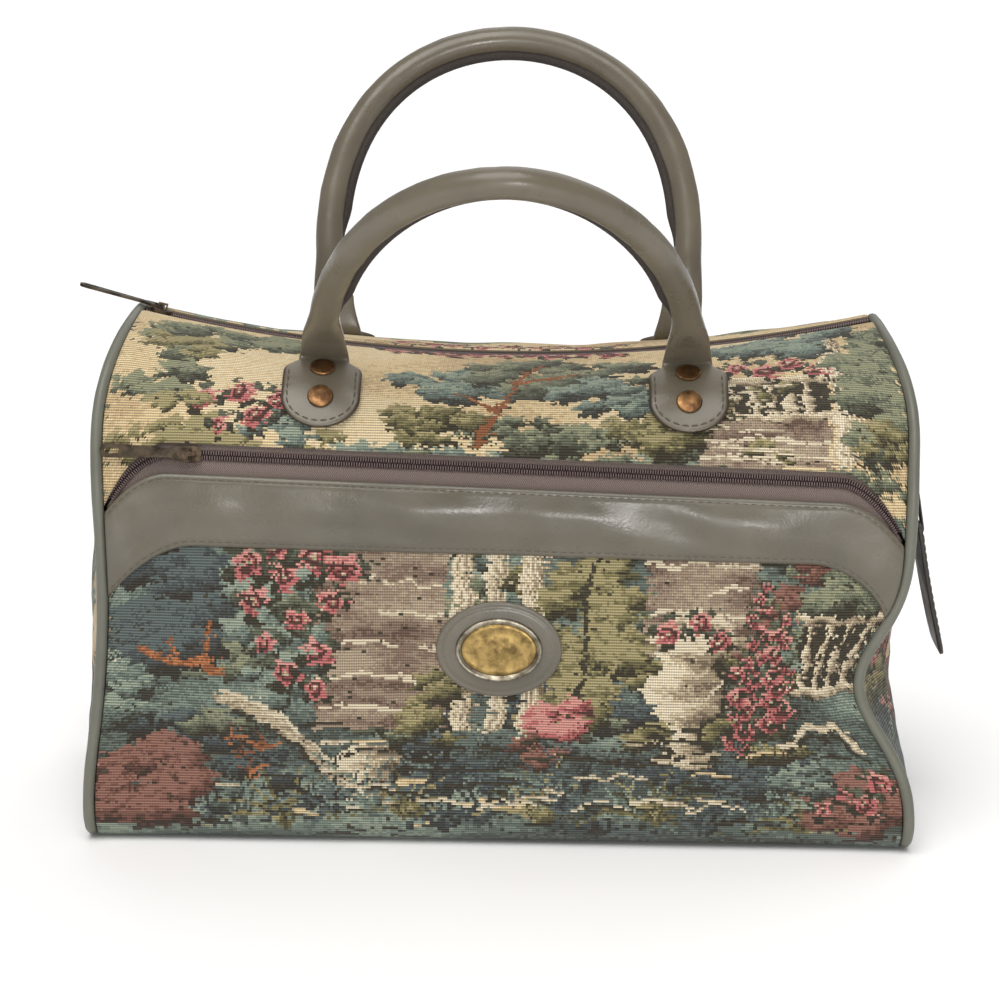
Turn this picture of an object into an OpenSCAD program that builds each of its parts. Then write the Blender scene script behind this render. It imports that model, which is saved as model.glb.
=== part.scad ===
// Carpet bag: tapestry weekend bag with a zipped vault top, a zipped front pocket under a
// leatherette band, piped end panels, rolled handles on riveted tabs, strap rings and a luggage tag.
// Frame: X across the front, +Y to the back, +Z up, origin at the middle of the underside.

/* [Body] */
// Width between the two end seams
body_w = 420; // [340:1:520]
// Depth from front to back
body_d = 185; // [150:1:220]
// Height of the top at the end panels
body_h = 272; // [240:1:320]
// Radius of the long edges of the base
base_r = 16; // [10:1:24]
// Thickness of the backed tapestry
cloth_t = 2.4; // [1.6:0.1:3]
// How far the top sags midway between the ends
top_sag = 22; // [8:1:26]
// How far the top of each end panel leans in
end_lean = 12; // [6:1:16]
// How far each end panel swells outwards
end_swell = 6; // [2:1:12]
// How far the front and back walls swell outwards
wall_swell = 5; // [2:1:8]
// Diameter of the piping round the end panels
piping_d = 6; // [4:0.5:8]
// Thickness of the stiff board in the base
board_t = 3; // [2:0.5:5]

/* [Front pocket] */
// Height of the pocket zip above the base
pocket_zip_z = 204; // [190:1:214]
// How much lower the right end of the pocket zip hangs than the left end
pocket_drop = 9; // [0:1:14]
// Length of the straight run of the pocket zip
pocket_zip_w = 344; // [280:1:350]
// Height of the lower edge of the leatherette band
band_z = 159; // [140:1:175]
// Depth of the pocket behind its front
pocket_room = 9; // [7:0.5:12]
// Thickness of leatherette
leather_t = 1.6; // [1:0.1:2.4]

/* [Zips] */
// Width of the closed coil
coil_w = 4.6; // [4:0.1:6]
// Height of the coil
coil_h = 2.2; // [1.6:0.1:2.6]
// Thickness of the zip tape
tape_t = 0.8; // [0.5:0.1:1]
// Opening between the top panels, where the slider runs
zip_gap = 12; // [11:0.5:16]
// Length of a slider
slider_l = 11; // [9:0.5:13]
// Width of a slider
slider_w = 8.6; // [7.6:0.1:9.4]
// Length of a pull from its pin to its tip
pull_l = 46; // [34:1:52]
// Width of a pull
pull_w = 7.6; // [6:0.2:9]

/* [Handles] */
// Distance between the two feet of a handle
handle_span = 190; // [160:1:210]
// Height of the front handle from its fold to the middle of the grip
front_handle_h = 166; // [140:1:180]
// Height of the rear handle from its fold to the middle of the grip
rear_handle_h = 164; // [140:1:180]
// Lean of the front handle, forwards from upright
front_lean = 52; // [20:1:70]
// Lean of the rear handle, backwards from upright
rear_lean = 21; // [10:1:50]
// Diameter of the rolled grip
grip_d = 15.5; // [12:0.5:20]
// Width of a handle tab
tab_w = 41; // [34:1:48]
// Thickness of a handle tab
tab_t = 4; // [3:0.2:5]
// Diameter of a rivet head
rivet_d = 13.4; // [9:0.2:15]

/* [Rings and tag] */
// Height of the ring loops above the base
ring_z = 224; // [200:1:240]
// Inside width of a strap ring
ring_w = 26; // [20:1:32]
// Wire diameter of a strap ring
ring_wire = 3; // [2.4:0.2:4]
// Width of the luggage tag
tag_w = 38; // [30:1:45]
// Length of the luggage tag
tag_l = 74; // [60:1:85]

/* [Badge] */
// Width of the leatherette badge patch
badge_w = 65; // [50:1:75]
// Height of the leatherette badge patch
badge_h = 50; // [38:1:58]
// Height of the badge's middle above the base
badge_z = 110; // [80:1:115]

/* [Hidden] */
$fn = 48;

// Clearance between neighbouring soft pieces
fit = 0.3;
// Running clearance round the zip inside a slider
run = 0.25;

// The vault: a half cylinder on two upright walls
vault_r = body_d / 2;
vault_z = body_h - vault_r;
half_w = body_w / 2;
piping_r = piping_d / 2;
// Share of the width that the wrap covers, up to the piping
wrap_end = 1 - (piping_r + fit) / half_w;
// Angle up the vault below which the top does not sag
sag_from = 24;
zip_half = half_w - end_lean - piping_r - 1;
sag_r = (zip_half * zip_half + top_sag * top_sag) / (2 * top_sag);
sag_z = body_h + sqrt(sag_r * sag_r - zip_half * zip_half);
// The coil lies this far below the outer face of the cloth
coil_depth = cloth_t + fit + tape_t - coil_h / 2 + 0.1;
leather = "dimgray";
tapestry = "darkseagreen";
webbing = "rosybrown";
metal = "darkgoldenrod";

// The skin of the bag

function lift(phi) = phi < sag_from ? 0 : pow(sin(90 * (phi - sag_from) / (90 - sag_from)), 2);
function sag(x) = abs(x) > zip_half ? 0
    : sqrt(sag_r * sag_r - x * x) - sqrt(sag_r * sag_r - zip_half * zip_half);
function end_x(phi) = half_w - end_lean * lift(phi);
function swell(x, z) = z < base_r || z > vault_z ? 0
    : wall_swell * (1 - pow(x / half_w, 4)) * pow(sin(180 * (z - base_r) / (vault_z - base_r)), 2);

// A point of the outer skin. u runs from -1 to 1 across the bag, q is the distance up the skin
// from the foot of the vault, and side is -1 for the front and 1 for the back.
function skin(u, q, side) = q < 0
    ? let (z = vault_z + q) [u * half_w, side * (vault_r + swell(u * half_w, z)), z]
    : let (phi = q / vault_r * 180 / PI, x = u * end_x(phi))
      [x, side * vault_r * cos(phi), vault_z + vault_r * sin(phi) - sag(x) * lift(phi)];
function skin_normal(u, q, side, e = 0.02) =
    let (n = cross(skin(u + e / half_w, q, side) - skin(u - e / half_w, q, side),
                   skin(u, q + e, side) - skin(u, q - e, side)))
    -side * n / norm(n);
function skin_at(u, q, side, off) = skin(u, q, side) + off * skin_normal(u, q, side);
// Distance up the skin at height z, on the part that does not sag
function q_of(z) = z < vault_z ? z - vault_z : vault_r * asin((z - vault_z) / vault_r) * PI / 180;
function q_of_angle(phi) = vault_r * phi * PI / 180;
function mix(a, b, t) = a + (b - a) * t;
function steps(a, b, n) = [for (i = [0:n]) mix(a, b, i / n)];
q_foot = base_r - vault_z;
q_top = q_of_angle(acos(zip_gap / 2 / vault_r));

// A closed solid between two grids of points, outer and inner
module slab(outer, inner) {
    n = len(outer);
    m = len(outer[0]);
    function at(k, i, j) = k * n * m + i * m + j;
    function quad(a, b, c, d) = [[a, b, c], [a, c, d]];
    skins = [for (i = [0:n - 2], j = [0:m - 2]) each concat(
        quad(at(0, i, j), at(0, i, j + 1), at(0, i + 1, j + 1), at(0, i + 1, j)),
        quad(at(1, i, j), at(1, i + 1, j), at(1, i + 1, j + 1), at(1, i, j + 1)))];
    ends = [for (i = [0:n - 2]) each concat(
        quad(at(0, i, 0), at(0, i + 1, 0), at(1, i + 1, 0), at(1, i, 0)),
        quad(at(0, i, m - 1), at(1, i, m - 1), at(1, i + 1, m - 1), at(0, i + 1, m - 1)))];
    sides = [for (j = [0:m - 2]) each concat(
        quad(at(0, 0, j), at(1, 0, j), at(1, 0, j + 1), at(0, 0, j + 1)),
        quad(at(0, n - 1, j), at(0, n - 1, j + 1), at(1, n - 1, j + 1), at(1, n - 1, j)))];
    polyhedron([for (g = [outer, inner], row = g) each row], concat(skins, ends, sides));
}

// A closed solid between two nests of rings, from the edge inwards, outer and inner
module disc(outer, inner) {
    n = len(outer);
    m = len(outer[0]);
    function at(k, i, j) = k * n * m + i * m + (j % m);
    function quad(a, b, c, d) = [[a, b, c], [a, c, d]];
    skins = [for (i = [0:n - 2], j = [0:m - 1]) each concat(
        quad(at(0, i, j), at(0, i, j + 1), at(0, i + 1, j + 1), at(0, i + 1, j)),
        quad(at(1, i, j), at(1, i + 1, j), at(1, i + 1, j + 1), at(1, i, j + 1)))];
    edge = [for (j = [0:m - 1]) each quad(at(0, 0, j), at(1, 0, j), at(1, 0, j + 1), at(0, 0, j + 1))];
    // A middle point closes each face inside its last ring
    function middle(ring) = [for (p = ring) 1] * ring / m;
    caps = [for (j = [0:m - 1]) each [[2 * n * m, at(0, n - 1, j), at(0, n - 1, j + 1)],
        [2 * n * m + 1, at(1, n - 1, j + 1), at(1, n - 1, j)]]];
    polyhedron(concat([for (g = [outer, inner], row = g) each row], [middle(outer[n - 1]), middle(inner[n - 1])]),
        concat(skins, edge, caps));
}

// A tube through a list of rings, closed on itself or capped
module tube(rings, closed = false) {
    n = len(rings);
    m = len(rings[0]);
    function at(i, j) = (i % n) * m + (j % m);
    walls = [for (i = [0:closed ? n - 1 : n - 2], j = [0:m - 1]) each
        [[at(i, j), at(i, j + 1), at(i + 1, j + 1)], [at(i, j), at(i + 1, j + 1), at(i + 1, j)]]];
    caps = closed ? [] : [[for (j = [m - 1:-1:0]) at(0, j)], [for (j = [0:m - 1]) at(n - 1, j)]];
    polyhedron([for (r = rings) each r], concat(walls, caps));
}

// Children stand on the skin with their own Z along its normal
module on_skin(u, q, side, off = 0) {
    n = skin_normal(u, q, side);
    translate(skin_at(u, q, side, off)) rotate([0, acos(n[2]), atan2(n[1], n[0])]) children();
}

// Cloth of the wrap

// A panel of the wrap between two heights up the skin, which are lists over the width
module wrap_panel(us, q_low, q_high, rows, side, off_out, off_in) {
    order = side < 0 ? [0:len(us) - 1] : [len(us) - 1:-1:0];
    function grid(off) = [for (i = order) [for (t = steps(0, 1, rows))
        skin_at(us[i], mix(q_low[i], q_high[i], t), side, off)]];
    slab(grid(off_out), grid(off_in));
}
wide = steps(-wrap_end, wrap_end, 14);

// The pocket zip falls away in a curve past its straight run
pocket_slope = atan(pocket_drop / (pocket_zip_w - 2 * slider_l));
function past_zip(x) = pow(max(0, abs(x) - pocket_zip_w / 2) / (half_w - pocket_zip_w / 2), 2);
function zip_line(x) = pocket_zip_z - x * tan(pocket_slope);
upper_lip = slider_w / 2 + 0.9;
lower_lip = 10;
corner_drop = 40;
function upper_edge(x) = zip_line(x) + upper_lip - corner_drop * past_zip(x);
function band_top(x) = zip_line(x) - lower_lip - (corner_drop - upper_lip - lower_lip + 1) * past_zip(x);
function band_low(x) = band_z - x * tan(pocket_slope) / 2
    - corner_drop * 0.8 * pow(max(0, abs(x) - pocket_zip_w / 2 + 14) / (half_w - pocket_zip_w / 2 + 14), 2);

module upper_front_panel() color(tapestry) difference() {
    wrap_panel(wide, [for (u = wide) q_of(upper_edge(u * half_w))], [for (u = wide) q_top], 9, -1, 0, -cloth_t);
    rivet_holes(-1);
}
module pocket_panel() color(tapestry)
    wrap_panel(wide, [for (u = wide) q_foot + fit], [for (u = wide) q_of(band_top(u * half_w) - fit)], 9, -1, 0, -cloth_t);
module pocket_band() color(leather)
    wrap_panel(wide, [for (u = wide) q_of(band_low(u * half_w))], [for (u = wide) q_of(band_top(u * half_w))],
        4, -1, fit / 2 + leather_t, fit / 2);
// The lining bellies in behind the pocket front and closes on it along the foot and the zip
module pocket_lining() {
    q_low = q_foot + 2;
    q_high = q_of(pocket_zip_z) + 30;
    function depth(t) = -cloth_t - 3 * fit - pocket_room * sin(180 * t);
    function grid(extra) = [for (u = wide) [for (t = steps(0, 1, 10))
        skin_at(u, mix(q_low, q_high, t), -1, depth(t) - extra)]];
    color(webbing) slab(grid(0), grid(0.8));
}
module back_panel() color(tapestry) difference() {
    wrap_panel(wide, [for (u = wide) q_foot + fit], [for (u = wide) q_top], 24, 1, 0, -cloth_t);
    rivet_holes(1);
}
// The base turns up at both long edges,
// and each turned edge is three narrow strips, so that every strip is close to flat.
edge_strips = 3;
strip_cut = 0.1;
module base_strip(i) edge_sector(-90 + 90 / edge_strips * i + strip_cut, -90 + 90 / edge_strips * (i + 1));
module edge_sector(from, to) intersection() {
    difference() {
        circle(base_r);
        circle(base_r - cloth_t);
    }
    polygon([[0, 0], 2 * base_r * [cos(from), sin(from)], 2 * base_r * [cos(to), sin(to)]]);
}
module base_outlines() {
    along_width(2 * half_w * wrap_end) translate([base_r - vault_r, 0]) square([2 * (vault_r - base_r), cloth_t]);
    for (side = [-1, 1], i = [0:edge_strips - 1]) along_width(2 * half_w * wrap_end)
        scale([side, 1]) translate([vault_r - base_r, base_r]) base_strip(i);
}
module along_width(l) rotate([90, 0, 90]) translate([0, 0, -l / 2]) linear_extrude(l) children();
module base_panel() color(tapestry) base_outlines();
module base_board() color("saddlebrown") translate([0, 0, cloth_t + fit / 2 + board_t / 2])
    cube([2 * half_w * wrap_end - 6, 2 * (vault_r - base_r), board_t], center = true);

// End panels and piping

// Points round the end of the bag, from the middle of the base forwards and over the top
function end_ring(n) = concat(
    [for (i = [0:n / 4 - 1]) [0, -1, i / (n / 4)]], [for (i = [0:n / 4 - 1]) [1, -1, i / (n / 4)]],
    [for (i = [n / 4:-1:1]) [1, 1, i / (n / 4)]], [for (i = [n / 4:-1:1]) [0, 1, i / (n / 4)]]);
flat_len = vault_r - base_r;
turn_len = base_r * PI / 2;
lower_len = flat_len + turn_len;
upper_len = vault_z - base_r + vault_r * PI / 2;
// A point [y, z, lean angle] of the end outline, inset from the skin
function end_point(p, inset) = p[0] == 0
    ? let (s = p[2] * lower_len, turn = max(0, s - flat_len) / base_r * 180 / PI, r = base_r - inset)
      [p[1] * (min(s, flat_len) + r * sin(turn)), base_r - r * cos(turn), 0]
    : let (s = p[2] * upper_len, phi = max(0, s - (vault_z - base_r)) / vault_r * 180 / PI)
      [p[1] * (vault_r - inset) * cos(phi), min(base_r + s, vault_z) + (vault_r - inset) * sin(phi), phi];
end_middle = [0, body_h * 0.46];
// The piping stays off the floor, and sinks a little under the ends of the top zip
function sink(p) = p[0] == 0 ? piping_r * cos(max(0, p[2] * lower_len - flat_len) / base_r * 180 / PI)
    : 0.8 * piping_r * pow(sin(end_point(p, 0)[2]), 6);

module end_panel(side) {
    function ring(rho, off) = [for (p = end_ring(36))
        let (e = end_point(p, sink(p) + piping_r + fit), x = mix(end_x(e[2]), half_w + end_swell, 1 - rho * rho))
        [-x - off, mix(end_middle[0], e[0], rho), mix(end_middle[1], e[1], rho)]];
    function nest(off) = [for (rho = [1, 0.86, 0.66, 0.4, 0.12]) ring(rho, off)];
    color(tapestry) if (side < 0) disc(nest(cloth_t / 2), nest(-cloth_t / 2));
    else mirror([1, 0, 0]) disc(nest(cloth_t / 2), nest(-cloth_t / 2));
}
module left_end_panel() end_panel(-1);
module right_end_panel() end_panel(1);

module piping(side) {
    course = [for (p = end_ring(48)) let (e = end_point(p, sink(p))) [side * end_x(e[2]), e[0], max(e[1], piping_r)]];
    n = len(course);
    function ahead(i) = let (d = course[(i + 1) % n] - course[(i + n - 1) % n]) d / norm(d);
    rings = [for (i = [0:n - 1]) let (t = ahead(i), a = [1, 0, 0] - t * t[0], b = a / norm(a), c = cross(t, b))
        [for (k = [0:7]) course[i] + piping_r * (cos(45 * k) * b + sin(45 * k) * c)]];
    color(leather) tube(rings, closed = true);
}
module left_piping() piping(-1);
module right_piping() piping(1);

// Zips

// Section of one zip tape and of one coil row, on the side of +X, with Y up from the coil's middle
tape_low = -coil_h / 2 - 0.1;
tape_high = tape_low + tape_t;
module tape_section(reach, fall) polygon([[coil_w / 2 + 0.1, tape_low], [slider_w / 2 + 1, tape_low],
    [reach, tape_low - fall], [reach, tape_high - fall], [slider_w / 2 + 1, tape_high], [coil_w / 2 + 0.1, tape_high]]);
module coil_section() translate([coil_w / 4 + 0.25, 0]) square([coil_w / 2 - 0.5, coil_h], center = true);

// The top zip is swept round the far axis of its own sag
top_reach = 13;
top_turn = asin(zip_half / sag_r);
top_coil_z = body_h - top_sag - coil_depth;
module round_sag(side, from, turn)
    translate([0, 0, sag_z]) rotate([0, 90, 0]) rotate([90, 0, 0]) rotate([0, 0, from])
        rotate_extrude(angle = turn, $fn = 96)
            translate([sag_z - top_coil_z, 0]) rotate(90) scale([-side, 1]) children();
// Each tape is laid in short lengths, so that every length is close to straight along the sag
tape_lengths = 6;
tape_turn = 2 * top_turn / tape_lengths;
tape_cut = 0.004;
module top_tape(side) color(webbing) for (i = [0:tape_lengths - 1])
    round_sag(side, -top_turn + i * tape_turn, tape_turn - (i < tape_lengths - 1 ? tape_cut : 0)) tape_section(top_reach, 1.2);
module top_coil(side) color("dimgray") round_sag(side, -top_turn, 2 * top_turn) coil_section();
module top_zip_front_tape() top_tape(-1);
module top_zip_rear_tape() top_tape(1);
module top_zip_front_coil() top_coil(-1);
module top_zip_rear_coil() top_coil(1);

// The pocket zip lies straight across the front. Its own X runs along it, Y up the front and Z outwards.
pocket_phi = asin((pocket_zip_z - vault_z) / vault_r);
module on_pocket_zip() translate(skin_at(0, q_of(pocket_zip_z), -1, -coil_depth))
    rotate([90 - pocket_phi, 0, 0]) rotate([0, 0, -pocket_slope]) children();
module straight_zip(side) on_pocket_zip() along_width(pocket_zip_w) scale([side, 1]) children();
// The upper tape dips under the round of the vault, most at its higher end
upper_reach = 12;
upper_fall = pow(upper_reach + pocket_drop / 2, 2) / (2 * vault_r) - 0.1;
module pocket_zip_upper_tape() color(webbing) straight_zip(1) tape_section(upper_reach, upper_fall);
module pocket_zip_lower_tape() color(webbing) straight_zip(-1) tape_section(16, 2.2);
module pocket_zip_upper_coil() color("dimgray") straight_zip(1) coil_section();
module pocket_zip_lower_coil() color("dimgray") straight_zip(-1) coil_section();

// A slider: two plates joined by a blade that runs between the coil rows, lips that hold the coil,
// and a bridge for the pull. It lies along X with the coil's middle at its origin.
plate_low = coil_h / 2 + run;
plate_t = 1.1;
bridge_w = 2.2;
bridge_l = 5.2;
pin_r = 0.7;
pin_z = plate_low + plate_t + 0.5 + pin_r;
module plate_outline() polygon([[-slider_l / 2, 1.6 - slider_w / 2], [-slider_l / 2, slider_w / 2 - 1.6], [1.6 - slider_l / 2, slider_w / 2],
    [slider_l / 2 - 3, slider_w / 2], [slider_l / 2, slider_w / 2 - 1.4], [slider_l / 2, 1.4 - slider_w / 2],
    [slider_l / 2 - 3, -slider_w / 2], [1.6 - slider_l / 2, -slider_w / 2]]);
module slider() color(metal) {
    translate([0, 0, plate_low]) linear_extrude(plate_t) plate_outline();
    translate([0, 0, tape_low - run - 1]) linear_extrude(1) plate_outline();
    translate([-slider_l / 2 + 1, -(0.5 - run), tape_low - run - 0.5]) cube([4, 2 * (0.5 - run), plate_low - tape_low + run + 1]);
    for (s = [-1, 1]) translate([1.6 - slider_l / 2, s * (slider_w / 2 - 0.5) - 0.5, tape_high + run])
        cube([slider_l - 4.6, 1, plate_low - tape_high - run + 0.5]);
    difference() {
        translate([-bridge_l / 2, -bridge_w / 2, plate_low + plate_t - 0.3]) cube([bridge_l, bridge_w, 2 * pin_r + 2.2]);
        translate([-bridge_l / 2 + 0.8, -bridge_w, plate_low + plate_t]) cube([bridge_l - 1.6, 2 * bridge_w, 2 * pin_r + 1]);
    }
}
// A pull: a tapered plate with a slot at the tip and an eye whose pin passes under the bridge.
// Its pin is at the origin along Y, and it points along -X.
eye_w = 5.6;
module pull() color("dimgray") {
    translate([0, 0, -pin_r]) linear_extrude(2 * pin_r) difference() {
        union() {
            polygon([[pin_r, -eye_w / 2 - 1], [pin_r, eye_w / 2 + 1], [-6, eye_w / 2 + 1], [-11, eye_w / 2 - 0.6],
                [pull_w / 2 - pull_l, pull_w / 2], [pull_w / 2 - pull_l, -pull_w / 2], [-11, 0.6 - eye_w / 2], [-6, -eye_w / 2 - 1]]);
            translate([pull_w / 2 - pull_l, 0]) circle(pull_w / 2);
        }
        translate([-4.6, -eye_w / 2]) square([10, eye_w]);
        translate([pull_w / 2 - pull_l, 0]) circle(pull_w / 5);
        translate([pull_w / 2 - pull_l, -pull_w / 5]) square([6, pull_w / 2.5]);
    }
    translate([0, eye_w / 2 + 0.5, 0]) rotate([90, 0, 0]) cylinder(r = pin_r, h = eye_w + 1);
}

// The top slider stands at the left end of its zip, with the pull over the piping beyond it
top_rest = asin((zip_half - slider_l / 2 - 2) / (sag_z - top_coil_z));
top_pull_turn = 0;
top_pull_rise = 2.5;
module on_top_zip() translate([0, 0, sag_z]) rotate([0, top_rest, 0]) translate([0, 0, top_coil_z - sag_z]) children();
module top_slider() on_top_zip() slider();
module top_pull() on_top_zip() translate([0, 0, pin_z]) rotate([0, 0, top_pull_turn]) rotate([0, top_pull_rise, 0]) pull();
// The pocket slider stands at the left end of its zip, with the pull beyond it
pocket_rest = slider_l - pocket_zip_w / 2;
pocket_pull_rise = 4;
module pocket_slider() on_pocket_zip() translate([pocket_rest, 0, 0]) slider();
module pocket_pull() on_pocket_zip() translate([pocket_rest, 0, pin_z]) rotate([0, pocket_pull_rise, 0]) pull();

// Handle tabs and rivets

tab_x = handle_span / 2;
tab_l = 56;
tab_top = q_of_angle(62);
tab_off = fit;
rivet_rows = [tab_top - 17, tab_top - 39];
function u_at(x, q) = x / end_x(q / vault_r * 180 / PI);
module rivet_spots(side, x_side = 0) for (s = x_side == 0 ? [-1, 1] : [x_side], q = rivet_rows) on_skin(u_at(s * tab_x, q), q, side) children();
module rivet_holes(side, x_side = 0) rivet_spots(side, x_side) translate([0, 0, -9]) cylinder(r = 1.7, h = 20);
module tab(x_side, side) {
    round_l = tab_w * 0.42;
    rows = concat([for (a = [14:19:90]) [round_l * (1 - cos(a - 14 * (90 - a) / 76)), sin(a)]], [for (d = steps(round_l + 6, tab_l, 5)) [d, 1]]);
    function grid(off) = [for (c = side < 0 ? steps(-1, 1, 8) : steps(1, -1, 8)) [for (r = rows)
        let (q = tab_top - tab_l + r[0]) skin_at(u_at(x_side * tab_x + c * r[1] * tab_w / 2, q), q, side, off)]];
    color(leather) difference() {
        slab(grid(tab_off + tab_t), grid(tab_off));
        rivet_holes(side, x_side);
    }
}
module front_left_tab() tab(-1, -1);
module front_right_tab() tab(1, -1);
module rear_left_tab() tab(-1, 1);
module rear_right_tab() tab(1, 1);
// A rivet with a domed head over the tab, a post through the cloth and a washer inside
module rivet() {
    head = tab_off + tab_t + 0.1;
    washer_r = 5;
    under = -cloth_t - fit - 1.2 * washer_r * washer_r / vault_r;
    color(metal) rotate_extrude() polygon(concat(
        [[0, under - 1], [washer_r, under - 1], [washer_r, under], [1.6, under], [1.6, head], [rivet_d / 2, head], [rivet_d / 2, head + 0.5]],
        [for (a = [15:15:75]) [rivet_d / 2 * cos(a), head + 0.5 + 2.2 * sin(a)]], [[0, head + 2.7]]));
}
module front_rivets() rivet_spots(-1) rivet();
module rear_rivets() rivet_spots(1) rivet();

// Handles

neck_w = tab_w - 7;
neck_t = 4.4;
fold_q = tab_top - 5;
fold_u = u_at(tab_x, fold_q);
fold_normal = skin_normal(fold_u, fold_q, -1);
// The crease clears the tab where the top slopes up towards the ends
fold_gap = fit + 0.2 + abs(fold_normal[0]) / norm([fold_normal[1], fold_normal[2]]) * neck_w / 2;
fold_point = let (p = skin(fold_u, fold_q, -1))
    [0, p[1], p[2]] + [0, fold_normal[1], fold_normal[2]] * (tab_off + tab_t + fold_gap + neck_t / 2);
// The line of a handle in its own plane, from the left foot over the grip to the right foot
function handle_at(k, h, swing) = [-(tab_x + swing * sin(k)) * cos(k), h * sin(k)];
function ease(t) = let (c = min(1, max(0, t))) c * c * (3 - 2 * c);
module handle(h, swing, bare) {
    ks = concat([for (k = [0.4:2.4:20]) k], [for (k = [24:6:156]) k], [for (k = [160:2.4:179.8]) k + 0.4]);
    function ring(k) = let (
        p = handle_at(k, h, swing), d = handle_at(k + 0.1, h, swing) - handle_at(k - 0.1, h, swing), t = d / norm(d),
        foot = min(norm(p - [-tab_x, 0]), norm(p - [tab_x, 0])), roll = ease((foot - 8) / 42),
        a = mix(neck_w / 2, grip_d / 2, roll), b = mix(neck_t / 2 - 0.3, grip_d / 2, roll), fin = bare ? 0 : 2.6 * ease((foot - 40) / 30),
        section = concat([for (j = [-150:25:150]) [a * cos(j), b * sin(j)]], [[-a - fin, 0.34 * b], [-a - fin, -0.34 * b]]))
        [for (s = section) [p[0] - t[1] * s[0], s[1], p[1] + t[0] * s[0]]];
    color(leather) union() {
        tube([for (k = ks) ring(k)]);
        for (s = [-1, 1]) translate([s * tab_x - neck_w / 2, 0, 0]) rotate([0, 90, 0]) cylinder(r = neck_t / 2, h = neck_w);
    }
}
module front_handle() translate(fold_point) rotate([front_lean, 0, 0]) handle(front_handle_h, 0, false);
module rear_handle() mirror([0, 1, 0]) translate(fold_point) rotate([rear_lean, 0, 0]) handle(rear_handle_h, 34, false);

// Strap rings and luggage tag

wire_r = ring_wire / 2;
strap_t = 1.6;
eye_in = wire_r + 0.25;
eye_out = eye_in + strap_t;
ring_r = (ring_w + ring_wire) / 2;
ring_side = 9;
ring_tilt = 13;
end_top = body_h - piping_r - fit;
// Outer face of an end panel at height z on its middle line
function end_face(z) = let (rho = (z - end_middle[1]) / (end_top - end_middle[1]))
    mix(end_x(90), half_w + end_swell, 1 - rho * rho) + cloth_t / 2;
loop_l = 26;
loop_slope = atan((end_face(ring_z) - end_face(ring_z + loop_l)) / loop_l);
ring_x = end_face(ring_z) + 0.6 + eye_out;
module at_ring(side) if (side > 0) translate([ring_x, 0, ring_z]) children();
    else mirror([1, 0, 0]) translate([ring_x, 0, ring_z]) children();
module across(w) rotate([90, 0, 0]) translate([0, 0, -w / 2]) linear_extrude(w) children();
// A strap folded round the bar of a ring and sewn flat to the end panel above it
module ring_loop(side) color(leather) at_ring(side) rotate([0, -loop_slope, 0]) across(18) difference() {
    union() {
        circle(eye_out);
        translate([-eye_out, 0]) square([2 * strap_t, loop_l]);
    }
    circle(eye_in);
}
module left_ring_loop() ring_loop(-1);
module right_ring_loop() ring_loop(1);
module strap_ring(side) color(metal) at_ring(side) rotate([0, -ring_tilt, 0]) {
    rotate([90, 0, 0]) cylinder(r = wire_r, h = 2 * ring_r, center = true);
    for (s = [-1, 1]) {
        translate([0, s * ring_r, 0]) sphere(wire_r);
        translate([0, s * ring_r, -ring_side]) cylinder(r = wire_r, h = ring_side);
    }
    translate([0, 0, -ring_side]) rotate([0, 90, 0]) rotate([0, 0, -90]) rotate_extrude(angle = 180) translate([ring_r, 0]) circle(wire_r);
}
module left_ring() strap_ring(-1);
module right_ring() strap_ring(1);

tag_tilt = 10;
tag_hang = 46;
tag_t = 2.6;
tag_bar = 5;
link_in = wire_r + 0.7;
module on_tag() at_ring(1) rotate([0, -ring_tilt, 0]) translate([0, 0, -ring_side - ring_r]) rotate([0, ring_tilt - tag_tilt, 0]) children();
// A strap linked through the ring and through the slot of the tag
module link(r) {
    translate([0, 1]) circle(r);
    translate([0, -tag_hang]) circle(r);
    translate([-r, -tag_hang]) square([2 * r, tag_hang + 1]);
}
module tag_strap() color("black") on_tag() across(9) difference() {
    link(link_in + strap_t);
    link(link_in);
}
module tag_body() color("black") on_tag() translate([0, 0, tag_bar - tag_hang - 0.6]) rotate([90, 0, 90])
    translate([0, 0, -tag_t / 2]) linear_extrude(tag_t) difference() {
        union() {
            translate([-tag_w / 2, 6 - tag_l]) square([tag_w, tag_l - 14]);
            translate([8 - tag_w / 2, -tag_l]) square([tag_w - 16, tag_l]);
            translate([6 - tag_w / 2, -tag_l]) square([tag_w - 12, 8]);
            for (s = [-1, 1]) {
                translate([s * (tag_w / 2 - 6), 6 - tag_l]) circle(6);
                translate([s * (tag_w / 2 - 8), -8]) circle(8);
            }
        }
        translate([-6, -tag_bar - 5]) square([12, 5]);
    }

// Badge

badge_x = -1;
patch_t = 2;
function oval(w, h) = [for (a = [0:10:350]) [h / 2 * cos(a), w / 2 * sin(a)]];
module badge_patch() {
    function ring(rho, off) = [for (a = [0:15:345]) skin_at((badge_x + rho * badge_w / 2 * cos(a)) / half_w,
        q_of(badge_z + rho * badge_h / 2 * sin(a)), -1, off)];
    function nest(off) = [for (rho = [1, 0.7, 0.35]) ring(rho, off)];
    color(leather) disc([for (r = nest(fit / 2 + patch_t)) [for (i = [len(r) - 1:-1:0]) r[i]]],
        [for (r = nest(fit / 2)) [for (i = [len(r) - 1:-1:0]) r[i]]]);
}
// An oval plate with a raised rim and a blank face
module badge_plate() color("gold") on_skin(badge_x / half_w, q_of(badge_z), -1, fit / 2 + patch_t + 0.1) {
    w = badge_w - 20;
    h = badge_h - 17;
    linear_extrude(1.2) polygon(oval(w, h));
    linear_extrude(2.2) difference() {
        polygon(oval(w, h));
        polygon(oval(w - 4.4, h - 4.4));
    }
}

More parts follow.
